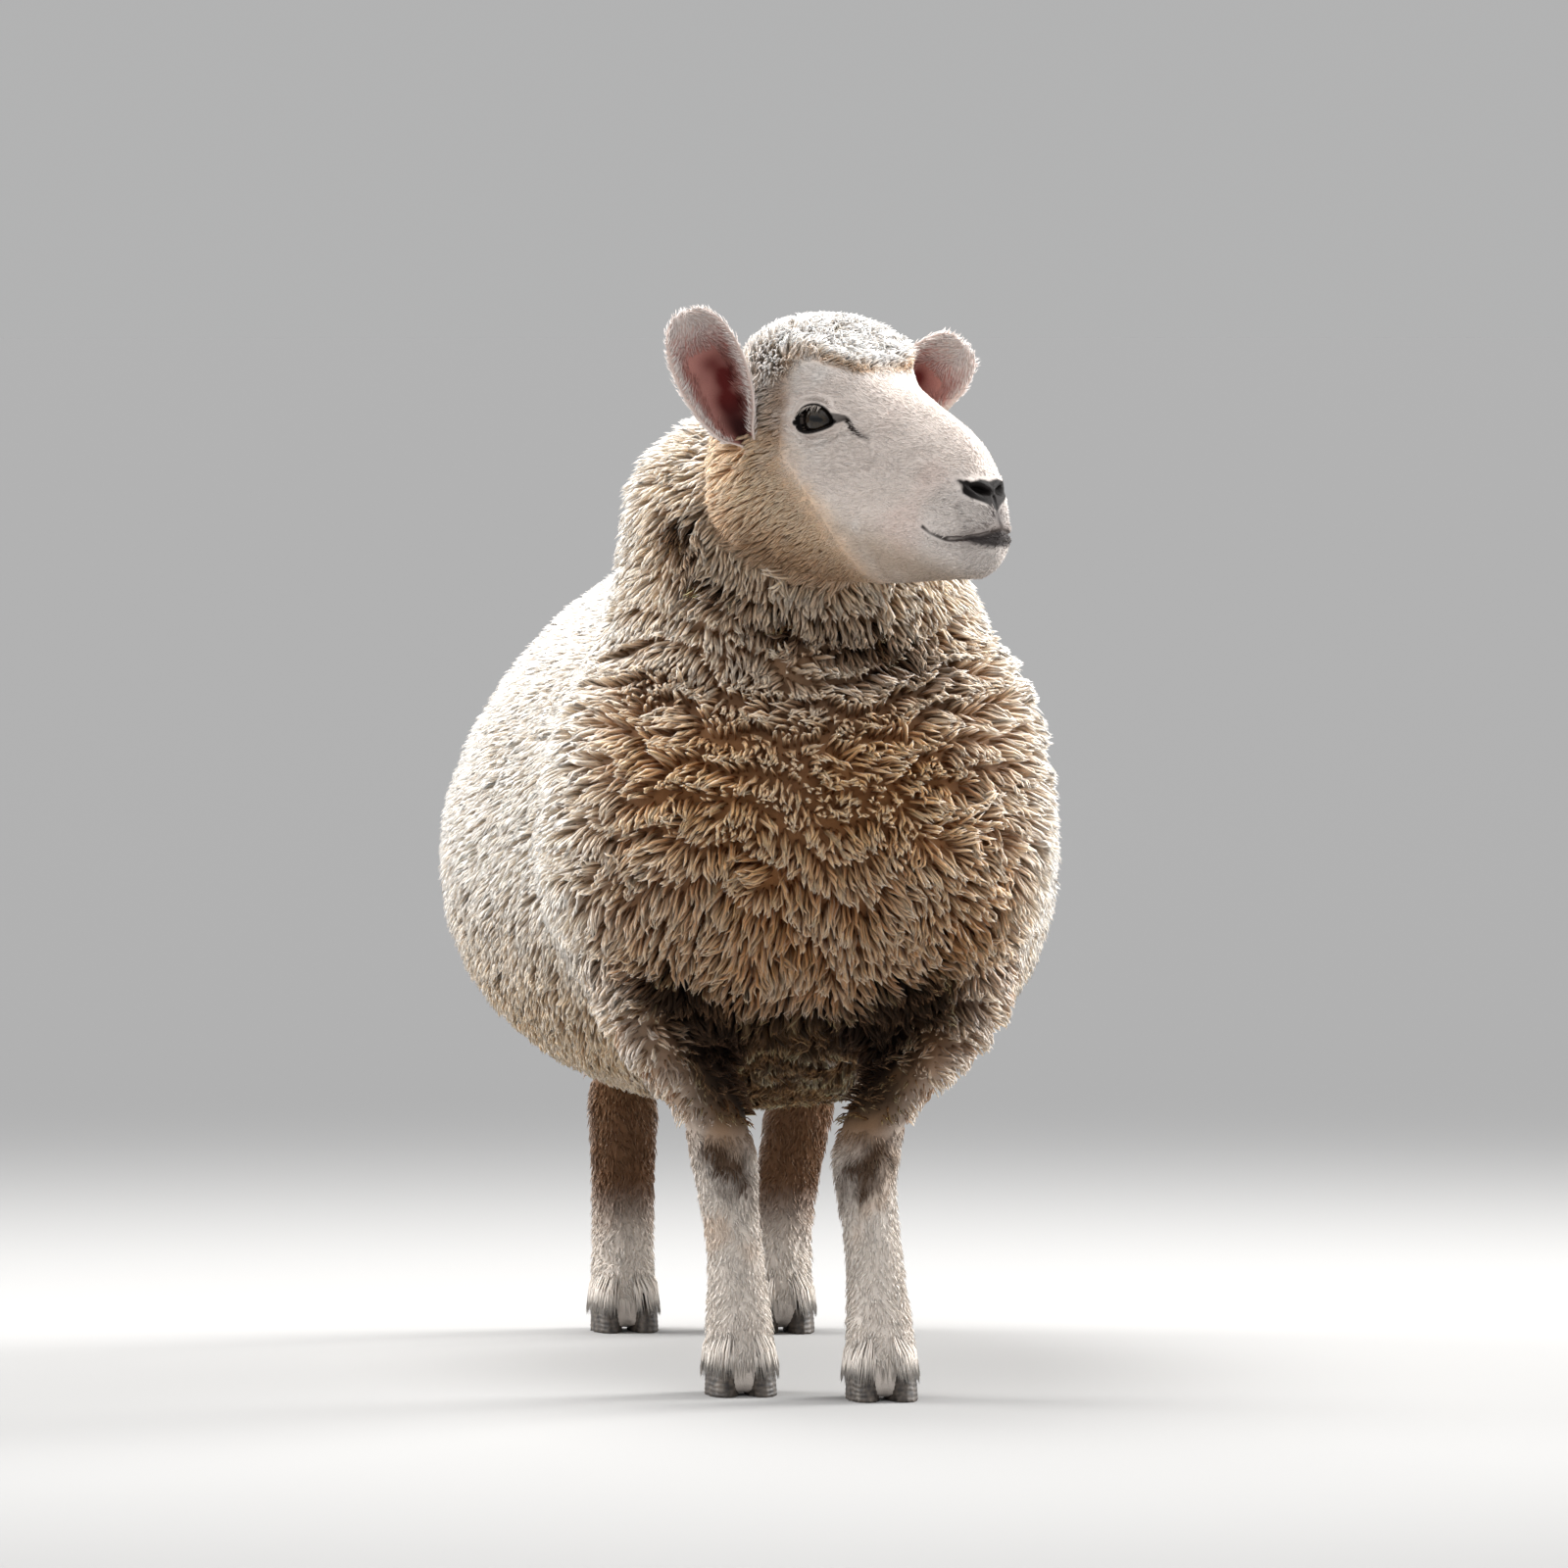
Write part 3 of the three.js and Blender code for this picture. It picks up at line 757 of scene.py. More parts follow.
def build_skin():
    """The whole skin as one surface, and what later steps need to know about each of its vertices."""
    skin, body_points, body_shares = body_skin()
    ear_points, ear_notes = join_ears(skin)
    refine_head(skin, ear_points)
    mesh = skin.data
    points = places(mesh)
    number, far = nearest(np.concatenate([body_points, ear_points]), points)
    all_head = np.tile(np.eye(len(REGIONS))[HEAD], (len(ear_points), 1))
    shares = averaged(np.concatenate([body_shares, all_head])[number], edges_of(mesh), 4)
    notes = np.concatenate([np.zeros((len(body_points), 4)), ear_notes])[number]
    notes[:, 3] = np.where(far < 1.2 * MM, notes[:, 3], 0)
    head = (shares[:, HEAD] > 0.2) & (notes[:, 3] == 0)
    points[head] = shape_head(points[head])
    place(mesh, points)
    smooth(mesh)
    return skin, shares, notes


def near_ears(centres, ear_points):
    """Whether places are within a few millimetres of either ear, found on a coarse grid."""
    cell = 9.0 * MM
    taken = {tuple(key) for key in np.floor(ear_points / cell).astype(int)}
    keys = np.floor(centres / cell).astype(int)
    return np.array([tuple(key) in taken for key in keys])


# ---- Markings and painted shade -------------------------------------------------------------------

CREAM = srgb(250, 239, 226)
WHITE = srgb(252, 248, 244)
BEIGE = srgb(220, 172, 124)
TAN = srgb(178, 128, 82)
BROWN = srgb(92, 66, 44)
# Real dirt on the neck, and also the painted shade in the folds by the forelegs.
DIRT_AND_PIT_SHADE = srgb(38, 27, 19)
# Painted shade with some dirt, for the wool between the forelegs.
SHADE_AND_DIRT_WOOL = srgb(48, 34, 20)
NECK_CREAM = srgb(252, 222, 190)
BELLY_TAN = srgb(180, 142, 94)
LEG_WHITE = srgb(236, 226, 216)
FOREARM_TAN = srgb(142, 108, 76)
KNEE_BROWN = srgb(74, 49, 28)
THIGH_BROWN = srgb(112, 76, 46)
FOOT_GREY = srgb(176, 166, 158)
CHEEK_CREAM = srgb(255, 218, 180)
# Painted shadow under the jaw.
JAW_SHADOW = srgb(150, 112, 78)
# Tan along the topknot's lower edge, partly painted shade under its roll.
HAIRLINE_TAN = srgb(228, 190, 152)
TEMPLE_TAN = srgb(168, 124, 88)
EAR_FOOT_TAN = srgb(204, 162, 120)
FACE_WHITE = srgb(242, 229, 220)
BLUSH = srgb(228, 200, 190)
MUZZLE_GREY = srgb(206, 200, 196)
WHISKER_GREY = srgb(120, 112, 108)
CHIN_TAN = srgb(184, 162, 140)
LID_GREY = srgb(196, 178, 170)
TEAR_BROWN = srgb(40, 32, 28)
NOSE_GREY = srgb(66, 58, 57)
LIP_SHADOW = srgb(112, 98, 92)
LIP_DARK = srgb(46, 41, 42)
BLACK = srgb(24, 20, 19)
EAR_PINK = srgb(196, 138, 128)
EAR_DEEP = srgb(92, 26, 24)
EAR_PIT_SHADE = srgb(52, 16, 16)
EAR_RIM = srgb(236, 214, 204)

NECK_FOLD = np.array([(-0.127, -0.327, 0.743), (-0.107, -0.337, 0.698), (-0.067, -0.354, 0.677),
                      (-0.039, -0.359, 0.656), (-0.006, -0.362, 0.648), (0.054, -0.350, 0.648)])
THROAT = np.array((0.067, -0.346, 0.632))
DIRT_KNOT = np.array((-0.126, -0.327, 0.743))
MIDDLE_X = -0.01  # midway between the forelegs
PITS = (  # the folds where the forelegs leave the breast
    np.array([(-0.118, -0.31, 0.346), (-0.09, -0.31, 0.318), (-0.066, -0.29, 0.29), (-0.056, -0.27, 0.255)]),
    np.array([(0.104, -0.31, 0.352), (0.066, -0.32, 0.328), (0.049, -0.28, 0.292), (0.044, -0.26, 0.255)]),
)


def coats(colour, *layers):
    """Lays tints over a colour one after another. Each layer is a tint and its share at each place."""
    for tint, share in layers:
        colour = blend(colour, tint, share)
    return colour


def pit_shade(points):
    """Painted shade, near black, in the folds where the forelegs leave the breast."""
    far = np.minimum(*(along_line(points, pit)[0] for pit in PITS))
    return np.clip(1.5 * bell(far, 0.028), 0, 0.97)


def between_shade(points):
    """Painted shade with some dirt: dark brown on the wool that hangs between the forelegs and on their
    inner sides.
    """
    x, y, z = points.T
    off_middle = np.abs(x - MIDDLE_X)
    high = smoothstep(0.35, 0.315, z + 0.3 * off_middle)
    return high * smoothstep(0.115, 0.07, off_middle) * (y < 0.1)


def body_marking(points, normal):
    """Cream over the back and sides, beige down the breast and browner under it, stain and painted shade
    together, and brown in the fold of the neck.
    """
    x, y, z = points.T
    ahead, aside = -normal[:, 1], np.abs(x)
    patch = waves(points, 0.16, 3)
    small = waves(points, 0.035, 4)
    neck = smoothstep(0.6, 0.7, z) * smoothstep(-0.1, 0.7, ahead)
    breast = smoothstep(0.1, 0.85, ahead) * smoothstep(0.71, 0.56, z) * smoothstep(0.25, 0.15, aside)
    low = smoothstep(0.52, 0.37, z) * smoothstep(-0.1, -0.28, y) * smoothstep(0.24, 0.12, aside)
    belly = smoothstep(0.48, 0.27, z) * smoothstep(-0.34, -0.1, y)
    fold, _ = along_line(points, NECK_FOLD)
    throat = bell(np.linalg.norm((points - THROAT) / (0.05, 0.07, 0.022), axis=1), 1.0)
    specks = smoothstep(1.1, 1.7, waves(points, 0.014, 9)) * bell(fold, 0.03)
    knot = bell(np.linalg.norm(points - DIRT_KNOT, axis=1), 0.013)
    tan_roll = smoothstep(0.7, 1.7, patch) * smoothstep(0.5, 0.7, z)
    return coats(
        CREAM,
        (NECK_CREAM, 0.8 * neck),
        # Breast, low chest and belly: their stain, deepened with painted shade.
        (BEIGE, breast * np.clip(0.92 + 0.12 * patch, 0, 1)),
        (TAN, 0.85 * low),
        (BELLY_TAN, 0.8 * belly),
        (SHADE_AND_DIRT_WOOL, between_shade(points) * np.clip(1.0 + 0.1 * small, 0, 1)),
        (DIRT_AND_PIT_SHADE, pit_shade(points)),
        (TAN, 0.45 * bell(fold, 0.03)),
        (BROWN, np.clip(0.9 * bell(fold, 0.014) * (0.9 + 0.4 * small), 0, 1)),
        (BROWN, np.clip(0.95 * throat, 0, 1)),
        (DIRT_AND_PIT_SHADE, 0.9 * specks),
        (DIRT_AND_PIT_SHADE, np.clip(1.1 * knot, 0, 0.95)),
        (TAN, 0.22 * tan_roll))


KNEES = ((-0.07, 0.197, 1), (0.045, 0.197, -1))  # across, up, and which way the worn patch leans
KNEE_PATCH = (0.034, 0.019)


def knee_shade(points, knee):
    """The worn patch on one knee, an oval that leans."""
    across, up, lean = knee
    right, rise = points[:, 0] - across, points[:, 2] - up
    along = (right * lean - rise) / math.sqrt(2)
    aside = (right + rise * lean) / math.sqrt(2)
    off = np.hypot(along / KNEE_PATCH[0], aside / KNEE_PATCH[1])
    return bell(off + 0.15 * waves(points, 0.022, 6), 1.0)


def leg_marking(points, normal):
    """Whitish below, with brown worn knees and beige forearms and thighs; painted shade deepens the
    forearms' inner sides and the folds by the breast.
    """
    x, y, z = points.T
    fore = y < 0.0
    outside = smoothstep(-0.2, 0.9, normal[:, 0] * np.sign(x - MIDDLE_X))
    stain = smoothstep(0.6, 1.6, waves(points, 0.05, 7)) * smoothstep(0.07, 0.14, z)
    knee_front = smoothstep(-0.5, 0.3, -normal[:, 1]) * fore
    knees = [(KNEE_BROWN, np.clip(1.2 * knee_shade(points, knee) * knee_front, 0, 0.95)) for knee in KNEES]
    hind = smoothstep(0.07, 0.14, z) * (0.6 + 0.4 * smoothstep(-0.4, 0.7, -normal[:, 1]))
    return coats(
        LEG_WHITE,
        # Tan forearms, deeper on their inner sides, partly painted shade.
        (FOREARM_TAN, smoothstep(0.19, 0.235, z) * (0.95 - 0.45 * outside)),
        (SHADE_AND_DIRT_WOOL, 0.9 * between_shade(points) * smoothstep(0.225, 0.255, z)),
        (BEIGE, 0.25 * stain),
        *knees,
        (THIGH_BROWN, np.where(fore, 0, hind * 0.97)),
        (FOOT_GREY, 0.5 * smoothstep(0.04, 0.012, z)),
        (DIRT_AND_PIT_SHADE, pit_shade(points)))


def head_wool_marking(points, h, edge):
    """White topknot, with tan below it, partly painted shade under its rolled edge, tan round the ears and
    on the cheeks, and painted shadow under the jaw.
    """
    up = h[:, 2]
    cheek = smoothstep(28, -14, edge) * smoothstep(2, -40, up)
    jaw = smoothstep(-74, -126, up + 0.12 * h[:, 1]) * smoothstep(130, 40, h[:, 1])
    hairline = bell(edge + 7, 6) * smoothstep(10, 40, up)
    hairline = hairline * np.clip(0.75 + 0.5 * waves(points, 0.07, 12), 0, 1)
    temple = bell(edge + 6, 8) * smoothstep(38, 14, up) * smoothstep(-44, -12, up)
    return coats(
        WHITE,
        (CHEEK_CREAM, 0.92 * cheek),
        (JAW_SHADOW, 0.8 * jaw),
        (HAIRLINE_TAN, 0.8 * hairline),
        (TEMPLE_TAN, 0.75 * temple),
        (EAR_FOOT_TAN, 0.6 * ear_base(h) * smoothstep(20, -10, edge)))


def face_marking(points, h):
    """White short hair, pinker down the nose, and grey round the muzzle."""
    up = h[:, 2]
    blush = smoothstep(0.2, 1.6, waves(points, 0.06, 13)) * smoothstep(40, 90, h[:, 1])
    muzzle = smoothstep(112, 150, h[:, 1] - 0.25 * up) * smoothstep(12, -12, up)
    whiskers = smoothstep(0.9, 1.5, waves(points, 0.0072, 14)) * muzzle * smoothstep(-44, -34, up)
    return coats(
        FACE_WHITE,
        (BLUSH, 0.35 * blush),
        (MUZZLE_GREY, 0.6 * muzzle),
        (WHISKER_GREY, 0.55 * whiskers),
        (CHIN_TAN, 0.75 * smoothstep(-52, -84, up + 0.05 * h[:, 1])))


def head_marking(points):
    """The face's colours within its edge, the wool's beyond it, and the bare black parts over both."""
    h = on_head(points)
    edge = face_edge(h)
    small = waves(points, 0.02, 11)
    upper = smoothstep(-5, 30, h[:, 2])
    above = smoothstep(-6, 8, edge + 2 * small)
    below = smoothstep(-24, 32, edge + 6 * small)
    face = above * upper + below * (1 - upper)
    colour = coats(head_wool_marking(points, h, edge), (face_marking(points, h), face))
    return bare_parts(colour, mirrored(h))


NOSE_ACROSS = (0.0, 6.0, 12.0, 18.0, 22.0, 25.0, 30.0)  # outward from the middle
NOSE_TOP = (0.5, 1.4, 2.0, 0.6, -0.8, 0.0, -2.5)
NOSE_BOTTOM = (-20.0, -16.5, -14.6, -13.4, -12.6, -12.2, -10.0)
NOSE_HALF = 28.8


def nose_edge(m):
    """Millimetres outside the black skin of the nose, from one nostril's tip across to the other's."""
    top = np.interp(m[:, 0], NOSE_ACROSS, NOSE_TOP)
    bottom = np.interp(m[:, 0], NOSE_ACROSS, NOSE_BOTTOM)
    outside = np.maximum(np.maximum(m[:, 2] - top, bottom - m[:, 2]), m[:, 0] - NOSE_HALF)
    return np.where(m[:, 1] > 132, outside, 40.0)


def bare_parts(colour, m):
    """The black round the eyes, the nostrils, the lips and the cleft between them."""
    s, t, out = on_eye(m)
    close = (np.hypot(s, t) < 34) & (out > 0)
    eye = eye_edge(s, t)
    lower_lid = smoothstep(2.2, 5.5, eye) * smoothstep(9.0, 5.0, eye) * close * (t < 0)
    rim = np.minimum(eye - 2.3, canthus_edge(s, t))
    tear, down_tear = along_line(m, TEAR_LINE, (0.25, 1.0, 1.0))
    nose = np.minimum(nose_edge(m), nostril_edge(m))
    smear = bell(np.hypot(0.75 * m[:, 0], 0.8 * (m[:, 2] + 25)), 9.5) * (m[:, 1] > 150)
    cleft, _ = along_line(m, PHILTRUM)
    mouth, along_mouth = along_line(m, MOUTH)
    shadow = bell(mouth - 3.5, 4.0) * smoothstep(0.15, 0.6, along_mouth)
    lip = np.interp(m[:, 0], MOUTH[::-1, 0], MOUTH[::-1, 2])
    below = smoothstep(0, -3, m[:, 2] - lip) * smoothstep(-48.5, -45, m[:, 2])
    lower_lip = below * smoothstep(35, 29, m[:, 0]) * (m[:, 1] > 140)
    return coats(
        colour,
        (LID_GREY, 0.4 * lower_lid),
        (BLACK, smoothstep(1.1, -0.4, rim) * close),
        (TEAR_BROWN, np.clip(1.5 * bell(tear, 2.0) * (1 - 0.45 * down_tear), 0, 1)),
        (BLACK, smoothstep(1.0, -0.6, nose)),
        (NOSE_GREY, 0.8 * smear),
        (BLACK, smoothstep(4.0, 2.4, cleft)),
        (BLACK, smoothstep(3.1, 2.0, mouth) * smoothstep(0.0, 0.04, along_mouth)),
        (LIP_SHADOW, 0.5 * shadow * smoothstep(4.0, 2.0, bell(mouth, 1.5))),
        (LIP_DARK, 0.92 * lower_lip))


EAR_WHITE = srgb(244, 232, 226)
EAR_STREAK = {-1: 0.2, 1: -0.1}  # where across each ear the red skin shows deepest


def ear_marking(notes, points):
    """White outside, and inside a pale rim round pink skin, deep red down the middle, with painted shade at
    the bottom of the bowl.
    """
    across, up, inner, side = notes.T
    rim = np.maximum(smoothstep(0.66, 0.98, np.abs(across)), smoothstep(0.74, 0.96, up))
    middle = np.where(side < 0, EAR_STREAK[-1], EAR_STREAK[1])
    deep = bell(across - middle, 0.46) * smoothstep(0.8, 0.55, up)
    deep = np.clip(deep * (1.05 + 0.2 * waves(points, 0.02, 17)), 0, 1)
    # Painted shade down in the bottom of the ear's bowl.
    pit = deep * smoothstep(0.36, 0.1, up)
    inside = coats(EAR_PINK, (EAR_DEEP, deep), (EAR_PIT_SHADE, pit), (EAR_RIM, rim))
    return blend(EAR_WHITE, inside, inner)


def marking(points, outer, normal, shares, notes):
    """The colour, painted shade included, that skin and coat share at each place. outer is where the coat
    there ends.
    """
    share = shares / shares.sum(1, keepdims=True)
    body = share[:, TRUNK] + share[:, TAIL] + share[:, NECK]
    colour = body_marking(outer, normal) * body[:, None]
    colour += leg_marking(outer, normal) * share[:, LEG, None]
    colour += head_marking(points) * share[:, HEAD, None]
    ear = notes[:, 3] != 0
    colour[ear] = ear_marking(notes[ear], points[ear])
    return np.clip(colour, 0.0, 1.0)


# How much of the coat's colour the skin below it keeps, in red, green and blue: painted shade, deepest under
# long wool.
UNDER_BODY = np.array((0.62, 0.52, 0.43))
UNDER_NECK = np.array((0.86, 0.74, 0.62))
UNDER_HEAD = np.array((0.96, 0.87, 0.76))
UNDER_HAIR = 0.96


def shaded_skin_colour(skin, shares, notes, depth):
    """The skin's colour: the coat's, made browner and darker by painted shade where long wool grows out of
    it.
    """
    points = places(skin.data)
    out = outward(skin.data)
    colour = marking(points, points + out * (depth * MM)[:, None], out, shares, notes)
    woolly = smoothstep(7, 17, depth) * (notes[:, 3] == 0)
    share = shares / shares.sum(1, keepdims=True)
    deepest = coats(
        UNDER_BODY,
        (UNDER_NECK, share[:, NECK]),
        (UNDER_HEAD, share[:, HEAD]))
    return colour * (UNDER_HAIR + (deepest - UNDER_HAIR) * woolly[:, None])


# ---- Materials ------------------------------------------------------------------------------------

def new_group(name, **numbers):
    """A node group that takes a colour and some numbers, and gives a colour and a height."""
    group = bpy.data.node_groups.new(name, "ShaderNodeTree")
    sockets = group.interface
    given = sockets.new_socket("Colour", in_out="INPUT", socket_type="NodeSocketColor")
    given.default_value = (1, 1, 1, 1)
    for label, value in numbers.items():
        sockets.new_socket(label, in_out="INPUT", socket_type="NodeSocketFloat").default_value = value
    sockets.new_socket("Colour", in_out="OUTPUT", socket_type="NodeSocketColor")
    sockets.new_socket("Height", in_out="OUTPUT", socket_type="NodeSocketFloat")
    return group, group.nodes.new("NodeGroupInput").outputs, group.nodes.new("NodeGroupOutput")


def varied(group, given, pattern):
    """The given colour, darkened by up to Depth where the pattern is low."""
    lowest = math_node(group, "SUBTRACT", 1.0, given["Depth"])
    level = add_node(group, "MapRange", {
        "Value": pattern, "From Min": 0.3, "From Max": 0.62, "To Min": lowest, "To Max": 1.0})
    shade = group.nodes.new("ShaderNodeMix")
    shade.data_type = "RGBA"
    shade.blend_type = "MULTIPLY"
    feed(group, shade, {0: 1.0, 6: given["Colour"], 7: level.outputs["Result"]})
    return shade.outputs[2]


def mottle_group():
    """Fine grain and soft mottling over skin: a colour in, the same colour varied, and a height."""
    group, given, result = new_group("mottle", Fine=900.0, Depth=0.25)
    at = add_node(group, "TexCoord").outputs["Object"]
    fine = add_node(group, "TexNoise", {"Vector": at, "Scale": given["Fine"], "Detail": 3.0}).outputs["Fac"]
    feed(group, result, {"Colour": varied(group, given, fine), "Height": fine})
    return group


def fibre_group():
    """Crimped fibres that run along each lock, read from its own map in millimetres, across and along."""
    group, given, result = new_group("fibres", Crimp=0.5, Depth=0.3)
    own_map = add_node(group, "UVMap")
    own_map.uv_map = "strand"
    split = add_node(group, "SeparateXYZ", {"Vector": own_map.outputs["UV"]}).outputs
    swing = math_node(group, "SINE", math_node(group, "MULTIPLY", split["Y"], 1.75))
    bent = math_node(group, "ADD", split["X"], math_node(group, "MULTIPLY", swing, given["Crimp"]))
    slow = math_node(group, "MULTIPLY", split["Y"], 0.14)
    joined = add_node(group, "CombineXYZ", {"X": bent, "Y": slow}).outputs["Vector"]
    fibres = add_node(group, "TexNoise", {"Vector": joined, "Scale": 1.3, "Detail": 2.0}).outputs["Fac"]
    feed(group, result, {"Colour": varied(group, given, fibres), "Height": fibres})
    return group


def math_node(group, operation, first, second=0.5):
    node = add_node(group, "Math", {0: first, 1: second})
    node.operation = operation
    return node.outputs[0]


MOTTLE = mottle_group()
FIBRES = fibre_group()


def new_finish(name, roughness, **values):
    """A new material and its tree and shader. The values are the shader's inputs, with _ for a space."""
    material = bpy.data.materials.new(name)
    material.use_nodes = True
    tree = material.node_tree
    shader = tree.nodes["Principled BSDF"]
    feed(tree, shader, {"Roughness": roughness})
    feed(tree, shader, {label.replace("_", " "): value for label, value in values.items()})
    return material, tree, shader


def painted(tree, layer):
    colour = add_node(tree, "VertexColor")
    colour.layer_name = layer
    return colour.outputs["Color"]


def raised(tree, height, strength, thick):
    """Surface directions raised by a height."""
    bump = add_node(tree, "Bump", {"Height": height, "Strength": strength, "Distance": thick})
    return bump.outputs["Normal"]


def painted_finish(name, layer, group, roughness, depth, bump, thick, **values):
    """A matt finish whose colour is painted on the vertices and broken up by a group's pattern."""
    material, tree, shader = new_finish(name, roughness, Specular_IOR_Level=0.15)
    pattern = tree.nodes.new("ShaderNodeGroup")
    pattern.node_tree = group
    feed(tree, pattern, {"Colour": painted(tree, layer), "Depth": depth, **values})
    feed(tree, shader, {
        "Base Color": pattern.outputs["Colour"],
        "Normal": raised(tree, pattern.outputs["Height"], bump, thick)})
    return material


REACH_BY_COLOUR = (1.0, 0.93, 0.86)


def let_light_in(material, share, reach):
    """Lets some of the light that falls on fibres come out of them again a little way off."""
    tree = material.node_tree
    feed(tree, tree.nodes["Principled BSDF"], {
        "Subsurface Weight": share, "Subsurface Radius": REACH_BY_COLOUR, "Subsurface Scale": reach})


FLOOR_COLOUR = (0.352, 0.351, 0.349)


def floor_finish():
    return new_finish("studio_floor", 0.9, Base_Color=(*FLOOR_COLOUR, 1))[0]


HORN_DARK = srgb(40, 35, 32)
HORN_DUST = srgb(104, 94, 84)


def horn_finish():
    """Dark hoof horn with rings of growth and a dusty edge."""
    material, tree, shader = new_finish("hoof_horn", 0.55)
    at = add_node(tree, "TexCoord").outputs["Object"]
    rings = add_node(tree, "TexWave", {"Vector": at, "Scale": 75.0, "Distortion": 3.0, "Detail": 2.0})
    rings.bands_direction = "Z"
    dust = add_node(tree, "TexNoise", {"Vector": at, "Scale": 160.0, "Detail": 4.0})
    colour = add_node(tree, "ValToRGB", {"Fac": dust.outputs["Fac"]})
    for stop, part, tint in zip(colour.color_ramp.elements, (0.35, 0.75), (HORN_DARK, HORN_DUST)):
        stop.position = part
        stop.color = (*tint, 1)
    feed(tree, shader, {
        "Base Color": colour.outputs["Color"],
        "Normal": raised(tree, rings.outputs["Fac"], 0.5, 0.5 * MM)})
    return material


def eye_finish():
    """A wet globe: its colours are painted on, under a clear coat."""
    material, tree, shader = new_finish(
        "eye", 0.12, Specular_IOR_Level=0.2, Coat_Weight=0.5, Coat_Roughness=0.02)
    feed(tree, shader, {"Base Color": painted(tree, "eye_colour")})
    return material


# ---- Eyes and claws -------------------------------------------------------------------------------

EYE_RINGS = 96
IRIS = 11.5
EYE_BULGE = 1.1
PUPIL = (6.6, 2.6)  # half its length and half its height, a bar that lies level
PUPIL_TILT = 0.25
IRIS_DARK = srgb(32, 25, 18)
IRIS_LIGHT = srgb(58, 47, 33)
IRIS_RIM = srgb(22, 17, 14)
EYE_DARK = srgb(26, 20, 18)
PUPIL_BLACK = srgb(4, 4, 6)


def eye_marking(s, t, front):
    """Dark brown iris with fine threads, dark rim and black pupil."""
    from_middle = np.hypot(s, t)
    level_s = s * math.cos(PUPIL_TILT) - t * math.sin(PUPIL_TILT)
    level_t = s * math.sin(PUPIL_TILT) + t * math.cos(PUPIL_TILT)
    angle = np.arctan2(level_t, level_s)
    threads = 0.5 + 0.5 * np.sin(angle * 37 + 3 * np.sin(angle * 11))
    iris = coats(
        IRIS_LIGHT,
        (IRIS_DARK, threads),
        (IRIS_RIM, smoothstep(7.0, 11.0, from_middle)))
    bar = np.hypot(level_s / PUPIL[0], level_t / PUPIL[1])
    return coats(
        EYE_DARK,
        (iris, smoothstep(IRIS + 0.8, IRIS - 0.8, from_middle) * front),
        (PUPIL_BLACK, smoothstep(1.15, 0.9, bar) * front))


def build_eye(side, node):
    """A globe with a bulging front, coloured as an eye."""
    deselect()
    at = off_head((GLOBE_AT * (side, 1, 1))[None])[0]
    bpy.ops.mesh.primitive_uv_sphere_add(
        segments=EYE_RINGS, ring_count=EYE_RINGS // 2, radius=GLOBE * MM, location=at)
    eye = bpy.context.object
    eye.name = node.replace("eye", "globe")
    bpy.ops.object.transform_apply(location=True, rotation=True, scale=True)
    mesh = eye.data
    m = on_head(places(mesh)) * (side, 1, 1)
    s, t, out = on_eye(m)
    front = out > 0
    bulge = EYE_BULGE * bell(np.hypot(s, t), 9.0) * front
    m = m + bulge[:, None] * EYE_WAY_OUT
    place(mesh, off_head(m * (side, 1, 1)))
    paint(mesh, "eye_colour", eye_marking(s, t, front))
    mesh.materials.append(EYE_FINISH)
    smooth(mesh)
    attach(eye, "root")
    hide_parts(node)


CLAW_VOXEL = 1.9 * MM
RING_DEPTH = 0.22 * MM


def build_claw(node):
    """One claw with a worn rounded edge and shallow rings of growth, flat on the ground."""
    claw = copy_of([node], node.replace("_claw", "_hoof"))
    remesh(claw, CLAW_VOXEL)
    mesh = claw.data
    edges = edges_of(mesh)
    low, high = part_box(node)
    points = evened(places(mesh), edges, 14)
    out = normals(mesh)
    rings = np.sin(points[:, 2] / MM * 1.6 + 0.9 * waves(points, 0.03, 21))
    side = smoothstep(0.9, 0.4, np.abs(out[:, 2]))
    points += out * (RING_DEPTH * rings * side)[:, None]
    points = np.clip(points, np.array(low), np.array(high))
    place(mesh, points)
    smooth(mesh)
    mesh.materials.append(HORN_FINISH)
    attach(claw, "root")
    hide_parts(node)


# ---- The coat -------------------------------------------------------------------------------------

BALD = 1.0  # the gap between roots, in metres, that stands for no roots at all


def sample(skin, spacing, seed):
    """Roots spread over the skin, about spacing apart: their places, and shares of three vertices."""
    mesh = skin.data
    mesh.calc_loop_triangles()
    triangles = read(mesh.loop_triangles, "vertices", 3, np.int32)
    points = places(mesh)
    a, b, c = (points[triangles[:, k]] for k in range(3))
    area = np.linalg.norm(np.cross(b - a, c - a), axis=1) / 2
    gap = spacing[triangles].mean(1)
    total = np.cumsum(area / np.maximum(gap, 1e-5) ** 2 * (gap < BALD / 2) * DENSITY)
    draw = np.random.default_rng(seed)
    count = np.floor(total + 0.5).astype(int)
    count = np.diff(np.concatenate([[0], count]))
    face = np.repeat(np.arange(len(triangles)), count)
    one, two = draw.random(len(face)), draw.random(len(face))
    fold = one + two > 1
    one, two = np.where(fold, 1 - one, one), np.where(fold, 1 - two, two)
    share = np.stack([1 - one - two, one, two], 1)
    return triangles[face], share


def spread(values, corner, share):
    """Values at the roots, from values on the skin's vertices."""
    shape = share.reshape(share.shape + (1,) * (values.ndim - 1))
    return (values[corner] * shape).sum(1)


def tangent(way, normal):
    return unit(way - normal * (way * normal).sum(1, keepdims=True))


# The parts of the way from root to tip where a lock has a ring of corners, and how wide it is there.
STAPLE = ((0.0, 0.66), (0.36, 1.0), (0.74, 0.8), (1.0, 0.0))
HAIR = ((0.0, 0.8), (0.5, 1.0), (1.0, 0.0))
ROOT_BURIED = 1.2 * MM


